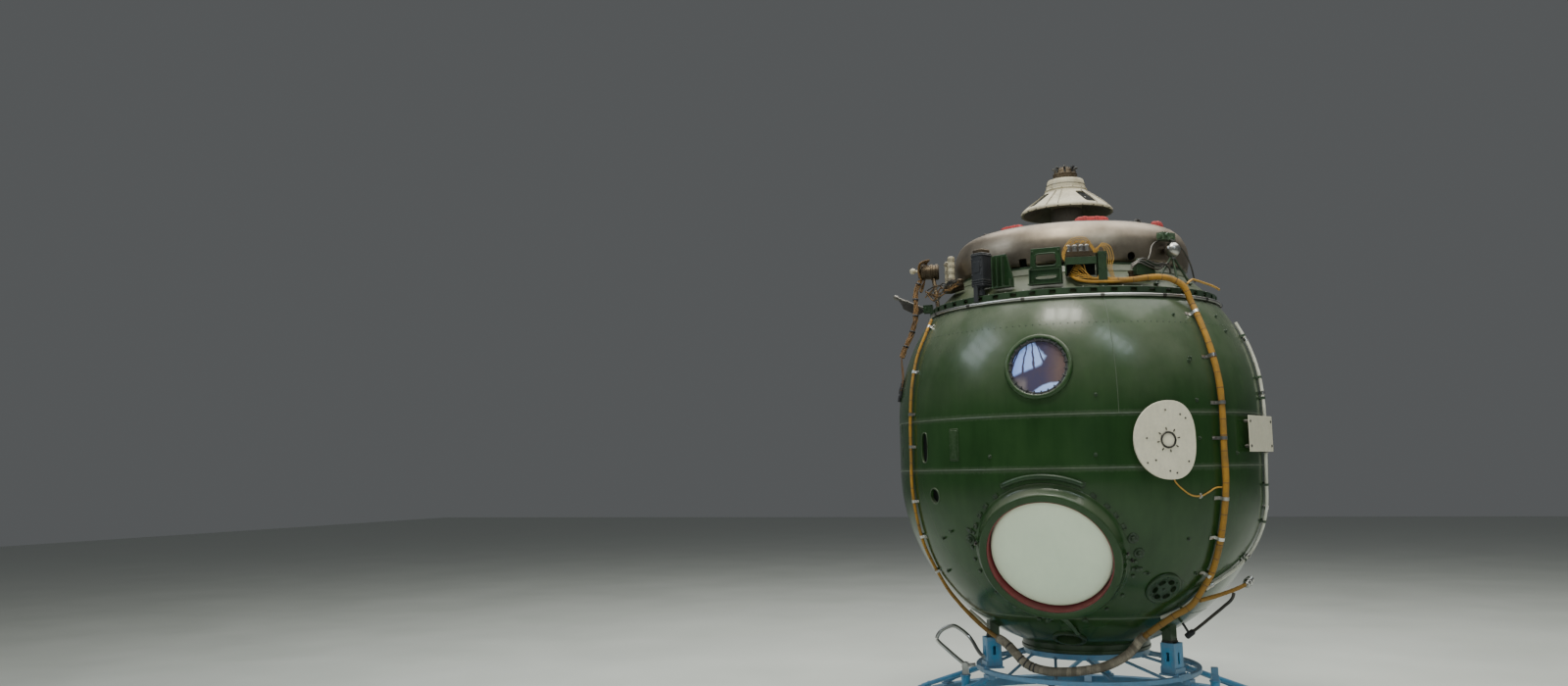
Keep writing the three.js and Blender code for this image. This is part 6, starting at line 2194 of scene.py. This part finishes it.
# %% Panels, clips and fittings on the hull
fittings = []
for azimuth, height, size in (
    (22.2, 1.147, 0.019), (23.8, 1.125, 0.014), (-23.7, 1.172, 0.016), (25.5, 1.085, 0.01)
):
    here = on_hull(azimuth, height)
    fittings.append(placed(together(
        disc(size, -0.003, 0.005, 28, 0.002), disc(size * 0.72, 0.004, 0.013, 28, 0.002),
        disc(size * 0.45, 0.012, 0.024, 6, 0.002),
        stamped(
            disc(size * 0.12, 0.004, 0.008, 6, 0.001),
            [shifted(size * 0.86 * math.cos(w), size * 0.86 * math.sin(w)) for w in evenly(6)]
        )
    ), here))
make_piece("hull_fittings", together(*fittings), DARK_STEEL)
clip = together(
    slab(0.034, 0.013, 0.0035, 0, 0, 0.0015), slab(0.012, 0.011, 0.016, 0.008, 0, 0.009),
    disc(0.0045, 0.002, 0.007, 6, 0.001)
)
clip_rows = np.array([
    [-38.7, 1.19], [-45.6, 0.992], [-6.3, 0.733], [0.0, 0.749], [4.3, 0.686], [-33.8, 1.232], [31.0, 1.01],
    [12.0, 0.8]
])
softened(make_piece(
    "hull_clips", stamped(clip, on_hull(clip_rows[:, 0], clip_rows[:, 1])), PART_GREEN
), 0.0008)
panel_here = on_hull(-27.8, 1.7235)
make_piece("belt_panel", placed(together(
    prism(rounded(0.07, 0.182, 14.0, 40), -0.002, 0.0034, 0.0015),
    prism(rounded(0.052, 0.164, 14.0, 40), 0.003, 0.0062, 0.0015),
    *[slab(0.004, 0.004, 0.0035, x, y, 0.0045) for x in (-0.03, 0.03) for y in (-0.075, 0.0, 0.075)]
), panel_here), HULL_GREEN)
SLOT_PLACE, HOLE_PLACE = on_hull(-42.0, 1.714), on_hull(-37.9, 1.434)
# the rim goes round once and one point on, so that its tube closes
rim = np.concatenate([np.column_stack([rounded(0.066, 0.174, 3.0, 48), np.full(48, 0.0006)])] * 2)[:50]
make_piece("slot_rim", placed(hose(rim, 0.0032, 8)[0], SLOT_PLACE), HULL_GREEN)
# Near-black floors in the slot and the hole paint the shade inside them.
make_piece("pocket_floors", together(
    placed(prism(rounded(0.062, 0.17, 3.0, 48), -0.0118, -0.01), SLOT_PLACE),
    placed(disc(0.0388, -0.019, -0.017, 40), HOLE_PLACE),
), PAINTED_SHADE_BLACK)
ring_rim = placed(
    turned([[0.04, -0.0015], [0.0405, 0.0038], [0.0445, 0.004], [0.048, 0.0022], [0.0487, -0.0018]], 48),
    HOLE_PLACE
)
make_piece("hole_rim", ring_rim, HULL_GREEN)

# %% Bent handle over the low port
handle = []
for lift, shift in ((0.016, 0.0), (0.012, 0.9)):
    rows = np.array([
        [-7.2 + shift, 0.005, 0.724], [-5.8 + shift, lift, 0.752 - 0.008 * shift],
        [-3.2 + shift, lift + 0.012, 0.785 - 0.02 * shift], [0.0, lift + 0.014, 0.79 - 0.022 * shift],
        [2.8 - shift, lift + 0.012, 0.756 - 0.01 * shift], [4.8 - shift, lift + 0.006, 0.708],
        [6.0 - shift, lift, 0.668], [6.6 - shift, 0.004, 0.64]
    ])
    handle.append(
        hose(smooth_line(np.array([on_hull(a, h, l)[:3, 3] for a, l, h in rows]), 0.008), 0.0062, 12)
    )
shape, uv = hoses(*handle)
make_piece("low_handle", shape, EDGE_GREEN, uv=uv)
ends = [placed(
    together(disc(0.013, -0.002, 0.006, 20, 0.002), disc(0.009, 0.005, 0.014, 20, 0.002)), on_hull(a, h)
) for a, h in ((-7.2, 0.724), (6.4, 0.644))]
make_piece("low_handle_feet", together(*ends), PART_GREEN)

# %% Sleeve beside the left harness, knots on the cable
sleeve_rows = [
    [-62.5, 0.012, 0.735], [-61.0, 0.016, 0.712], [-59.0, 0.02, 0.694], [-56.5, 0.026, 0.68],
    [-53.6, 0.034, 0.668]
]
sleeve_line = smooth_line(np.array([on_hull(a, h, l)[:3, 3] for a, l, h in sleeve_rows]), 0.006)
make_drawn("pale_sleeve", hose(sleeve_line, 0.0085, 14), SLEEVE)
cable_line = smooth_line(CABLE_ROUTE, 0.004)
cable_run = run_of(cable_line)
knots = []
for share in (0.7, 0.725, 0.76, 0.8, 0.9):
    at = int(np.searchsorted(cable_run, share * cable_run[-1]))
    knots.append(hose(cable_line[at:at + 3], 0.0276, 20))
make_drawn("cable_knots", hoses(*knots), BLACK)

# %% Lower frame and transfer hatch, seen from below
def below(radius):
    """Height of the hull's underside at a radius, with a hair's gap."""
    return LOWER - math.sqrt(HULL**2 - radius**2) - 2 * GAP


make_piece("lower_frame_ring", turned([
    [0.3352, 0.5], [0.339, 0.4952], [0.38, 0.4952], [0.3848, 0.5], [0.3848, 0.515], [0.38, 0.52],
    [0.38, below(0.38)], [0.3352, below(0.3352)],
], 160), PART_GREEN, replaces=("lower_frame",))
make_piece("lower_hatch_lid", turned([
    [0, 0.5132], [0.296, 0.5132], [0.3, 0.5165], [0.316, 0.5165], [0.32, 0.5132], [0.3335, 0.5132],
    [0.3346, 0.516], [0.3346, 0.529], [0, 0.535]
], 128, False), CREAM, replaces=("lower_hatch",))
make_piece("lower_hatch_lock", together(
    spun(disc(0.007, 0.508, 0.514, 6, 0.001), evenly(24, 7.5), 0.327),
    turned([[0, 0.5], [0.045, 0.5], [0.05, 0.505], [0.05, 0.514], [0, 0.514]], 48, False),
    spun(slab(0.012, 0.2, 0.01, 0, 0.13, 0.5075), np.radians([30.0, 150.0, 270.0]), 0.0),
    hose(smooth_line(np.array([
        [-0.08, 0, 0.512], [-0.08, 0, 0.496], [-0.06, 0, 0.4955], [0.06, 0, 0.4955], [0.08, 0, 0.496],
        [0.08, 0, 0.512]
    ]), 0.006), 0.0045, 10)[0]
), STEEL)

# %% Pockets in the belt and the lower shell
carved(belt_panel, placed(prism(rounded(0.066, 0.174, 3.0, 48), -0.013, 0.05), SLOT_PLACE))
carved(lower_panel, placed(disc(0.04, -0.02, 0.05, 48), HOLE_PLACE))

# %% Leads from the left bundle, clipped to the hull
BUNDLE_FOOT = -66
skin_leads = []
skin_boots = []
lead_clips = []
for number, (shift, low) in enumerate([(-3.4, 2.105), (-1.8, 2.052), (-0.2, 2.128), (1.3, 2.078)]):
    lying = [math.sqrt(HULL**2 - (z - UPPER) ** 2) + 0.0105 for z in (2.165, low + 0.016, low, low - 0.04)]
    skin_leads.append(wire([
        [BUNDLE_FOOT + 0.15 * shift, 1.077 + 0.002 * number, 2.308],
        [BUNDLE_FOOT + 0.4 * shift, 1.079, 2.25], [BUNDLE_FOOT + 0.8 * shift, lying[0] + 0.003, 2.165],
        [BUNDLE_FOOT + shift, lying[1], low + 0.016], [BUNDLE_FOOT + shift, lying[2], low]
    ], 0.0038))
    skin_boots.append(wire([
        [BUNDLE_FOOT + shift, lying[2], low],
        [BUNDLE_FOOT + shift, 0.5 * (lying[2] + lying[3]), low - 0.02],
        [BUNDLE_FOOT + shift, lying[3], low - 0.04]
    ], 0.0088, 12))
    lead_clips.append(
        placed(slab(0.034, 0.011, 0.0155, 0, 0, 0.0068), on_hull(BUNDLE_FOOT + shift, low + 0.012))
    )
make_drawn("skin_leads", hoses(*skin_leads), BROWN)
make_drawn("skin_lead_boots", hoses(*skin_boots), BLACK)
softened(make_piece("skin_lead_clips", together(*lead_clips), DARK_STEEL), 0.002)

# %% [markdown]
# ## Stand
#
# Three uprights carry the module on a ring with a seat. Six braced legs stand on a floor ring with two
# cross beams and eight levelling feet.

# %% Ring, seat and struts
RING_LOW, RING_HIGH = 0.362, 0.39


def square_ring(inner, outer, low, high, edge=0.003, steps=160):
    """A square tube bent to a ring, its four edges sloped."""
    e = edge
    return turned([
        [inner, low + e], [inner + e, low], [outer - e, low], [outer, low + e], [outer, high - e],
        [outer - e, high], [inner + e, high], [inner, high - e]
    ], steps)


def collared(start, end, radius, sides, collar_radius, *spans):
    """A bar with a collar over each span of it; a span below zero is measured from the far end."""
    along = unit(end - start)
    shapes = [drum_between(start, end, radius, sides)]
    for first, last in spans:
        base = start if first > 0 else end
        shapes.append(drum_between(base + along * first, base + along * last, collar_radius, sides))
    return shapes


strut_shapes = []
for number in range(12):
    start, end = polar(30.0 * number + 25.0, 0.655, 0.367), polar(30.0 * number + 10.0, 0.355, 0.47)
    strut_shapes += collared(start, end, 0.0085, 18, 0.0112, (0.012, 0.02), (-0.024, -0.014))
make_piece("stand_ring_tube", together(
    square_ring(0.641, 0.669, RING_LOW, RING_HIGH), square_ring(0.335, 0.375, 0.46, 0.4945), *strut_shapes,
), BLUE, replaces=("stand_ring",))
print("stand ring with struts:", len(strut_shapes) // 3)

# %% Uprights: blue channels with dark pads under the hull
UPRIGHT_AZIMUTHS = {"left": -57.0, "right": 63.0, "rear": 183.0}
pads, shoes, plates = [], [], []


def skin_under(radius):
    """Height at a radius where a pad stops just short of the hull."""
    return LOWER - math.sqrt((HULL + 0.0008) ** 2 - radius**2)


for side, azimuth in UPRIGHT_AZIMUTHS.items():
    channel = make_piece(
        f"upright_channel_{side}", block_at(azimuth, 0.6, 0.09, 0.09, 0.4004, 0.573), BLUE,
        replaces=(f"stand_upright_{side}",)
    )
    cuts = [
        block_at(azimuth, 0.6, 0.076, 0.076, 0.412, 0.6), block_at(azimuth, 0.64, 0.016, 0.04, 0.455, 0.52),
        block_at(azimuth, 0.6, 0.12, 0.018, 0.47, 0.52)
    ]
    carved(channel, *cuts)
    softened(channel, 0.0022)
    plates.append(block_at(azimuth, 0.612, 0.118, 0.13, 0.3903, 0.4002))
    plates += [
        block_at(azimuth, 0.556, 0.098, 0.008, 0.4002, 0.44),
        block_at(azimuth, 0.6485, 0.098, 0.007, 0.4002, 0.432)
    ]
    plates.append(placed(
        stamped(WASHER_BOLT, [shifted(x, y, 0.0) for x in (-0.051, 0.051) for y in (-0.05, 0.046)]),
        standing(azimuth, 0.612, 0.4002)
    ))
    here = standing(azimuth, 0.59, 0.0)
    corners = []
    for level in (0.545, None):
        for x, y in ((-0.031, -0.028), (0.031, -0.028), (0.031, 0.03), (-0.031, 0.03)):
            radius = math.hypot(x, 0.59 - y)
            corners.append([x, y, level if level else skin_under(radius)])
    faces = [[3, 2, 1, 0], [4, 5, 6, 7], [0, 1, 5, 4], [1, 2, 6, 5], [2, 3, 7, 6], [3, 0, 4, 7]]
    pads.append(placed((np.array(corners), faces), here))
    shoes.append(block_at(azimuth, 0.59, 0.07, 0.066, 0.5735, 0.583))
    shoes += [
        placed(drum_between([x, 0, 0.583], [x, 0, 0.596], 0.0075, 6), here @ shifted(y=-0.026))
        for x in (-0.024, 0.024)
    ]
softened(make_piece("upright_plates", together(*plates), BLUE), 0.0015)
make_piece("upright_pads", together(*pads), PART_GREEN)
softened(make_piece("upright_shoes", together(*shoes), DARK_STEEL), 0.001)

# %% Legs, floor ring, beams and feet
FOOT_RADIUS, POST_RADIUS = 1.17, 0.74
legs, feet_plates = [], []
for azimuth in (-50.0, 10.0, 70.0, 130.0, 190.0, 250.0):
    legs.append(block_at(azimuth, 0.655, 0.07, 0.044, 0.334, 0.3617))
    for turn in (-7.0, 7.0):
        start, end = polar(azimuth, 0.655, 0.338), polar(azimuth + turn, FOOT_RADIUS, 0.147)
        legs += collared(start, end, 0.0146, 24, 0.0178, (0.04, 0.052), (-0.06, -0.046))
        feet_plates.append(block_at(azimuth + turn, FOOT_RADIUS, 0.07, 0.052, 0.1253, 0.134))
        legs.append(block_at(azimuth + turn, FOOT_RADIUS, 0.034, 0.05, 0.134, 0.1505))
        feet_plates += [column(
            azimuth + turn + w, FOOT_RADIUS,
            [[0, 0.134], [0.0085, 0.134], [0.0085, 0.1358], [0.006, 0.136], [0.006, 0.1425], [0, 0.143]], 6
        ) for w in (-1.25, 1.25)]
legs_piece = make_piece(
    "stand_leg_bars", together(*legs), BLUE,
    replaces=tuple(f"stand_leg_{number}" for number in range(1, 7))
)
softened(legs_piece, 0.0012)
make_piece("stand_leg_plates", together(*feet_plates), BLUE)

feet = []
for number in range(8):
    azimuth = 45.0 * number + 22.5
    feet.append(column(azimuth, FOOT_RADIUS, [
        [0, 0.0], [0.042, 0.0], [0.045, 0.003], [0.045, 0.008], [0.03, 0.012], [0.022, 0.016],
        [0.0155, 0.02], [0.0155, 0.08], [0, 0.08]
    ], 40))
    feet.append(column(azimuth, FOOT_RADIUS, [[0, 0.04], [0.026, 0.04], [0.026, 0.054], [0, 0.054]], 6))
make_piece("stand_feet", together(*feet), DARK_STEEL)
make_piece("stand_floor_ring", together(
    square_ring(1.1402, 1.195, 0.0652, 0.1248, 0.004, 192),
    *[block_at(45.0 * k + 22.5, FOOT_RADIUS, 0.085, 0.05, 0.058, 0.0652) for k in range(8)],
), BLUE, replaces=("stand_base",))
reach = 1.14 * math.cos(math.radians(5.0)) - 0.0006
beams = [
    block_at(-80.0, 0.0, 2 * reach, 0.05, 0.0704, 0.1196),
    block_at(10.0, 0.0, 2 * reach, 0.05, 0.0704, 0.1196)
]
post_profile = [
    [0, 0.09], [0.04, 0.09], [0.04, 0.122], [0.036, 0.126], [0.0275, 0.13], [0.0275, 0.292], [0.033, 0.296],
    [0.033, 0.3048], [0, 0.3048]
]
beams += [column(azimuth, POST_RADIUS, post_profile, 40) for azimuth in (-80.0, 100.0)]
beams += [
    block_at(100.0, POST_RADIUS, 0.034, 0.04, 0.3035, 0.38),
    block_at(100.0, POST_RADIUS, 0.042, 0.048, 0.33, 0.336)
]
beams += [placed(slab(0.18, 0.18, 0.006, 0, 0, 0.1226), standing(10.0, 0.0, 0.0))]
softened(
    make_piece("stand_beams_and_posts", together(*beams), BLUE, replaces=("stand_beams",)),
    0.002
)

# %% Bent steel loop at the left
# Each row is a radius and a height in millimetres, and a turn in degrees from the left post.
LOOP_ROWS = [
    [676, 366, 0], [700, 364, 0], [740, 366, 0], [800, 412, 0], [860, 464, 0], [905, 505, 0], [912, 530, 0],
    [890, 566, 0], [850, 592, 0], [805, 603, 0], [760, 580, 0], [715, 545, 1], [684, 512, 5],
    [668, 486, 11], [661, 468, 17], [659, 460, 21], [659, 458, 24]
]
loop_line = smooth_line(
    polar_rows([[-80.0 + turn, r / 1000.0, z / 1000.0] for r, z, turn in LOOP_ROWS]), 0.008
)
make_piece("stand_loop_tube", together(
    hose(loop_line, 0.0118, 24)[0], block_at(-80.0, POST_RADIUS, 0.034, 0.04, 0.3054, 0.379),
    block_at(-80.0, POST_RADIUS, 0.04, 0.046, 0.352, 0.358),
    drum_between(polar(-82.0, POST_RADIUS, 0.366), polar(-78.0, POST_RADIUS, 0.366), 0.0155, 20),
), STEEL, replaces=("stand_loop",))

# %% Finish for the hatch hinge, which is drawn as its CAD solid
for kept in [thing for thing in bpy.data.objects if thing.name.split(".")[0] == "hatch_hinge"]:
    for place in kept.material_slots:
        place.material = STEEL
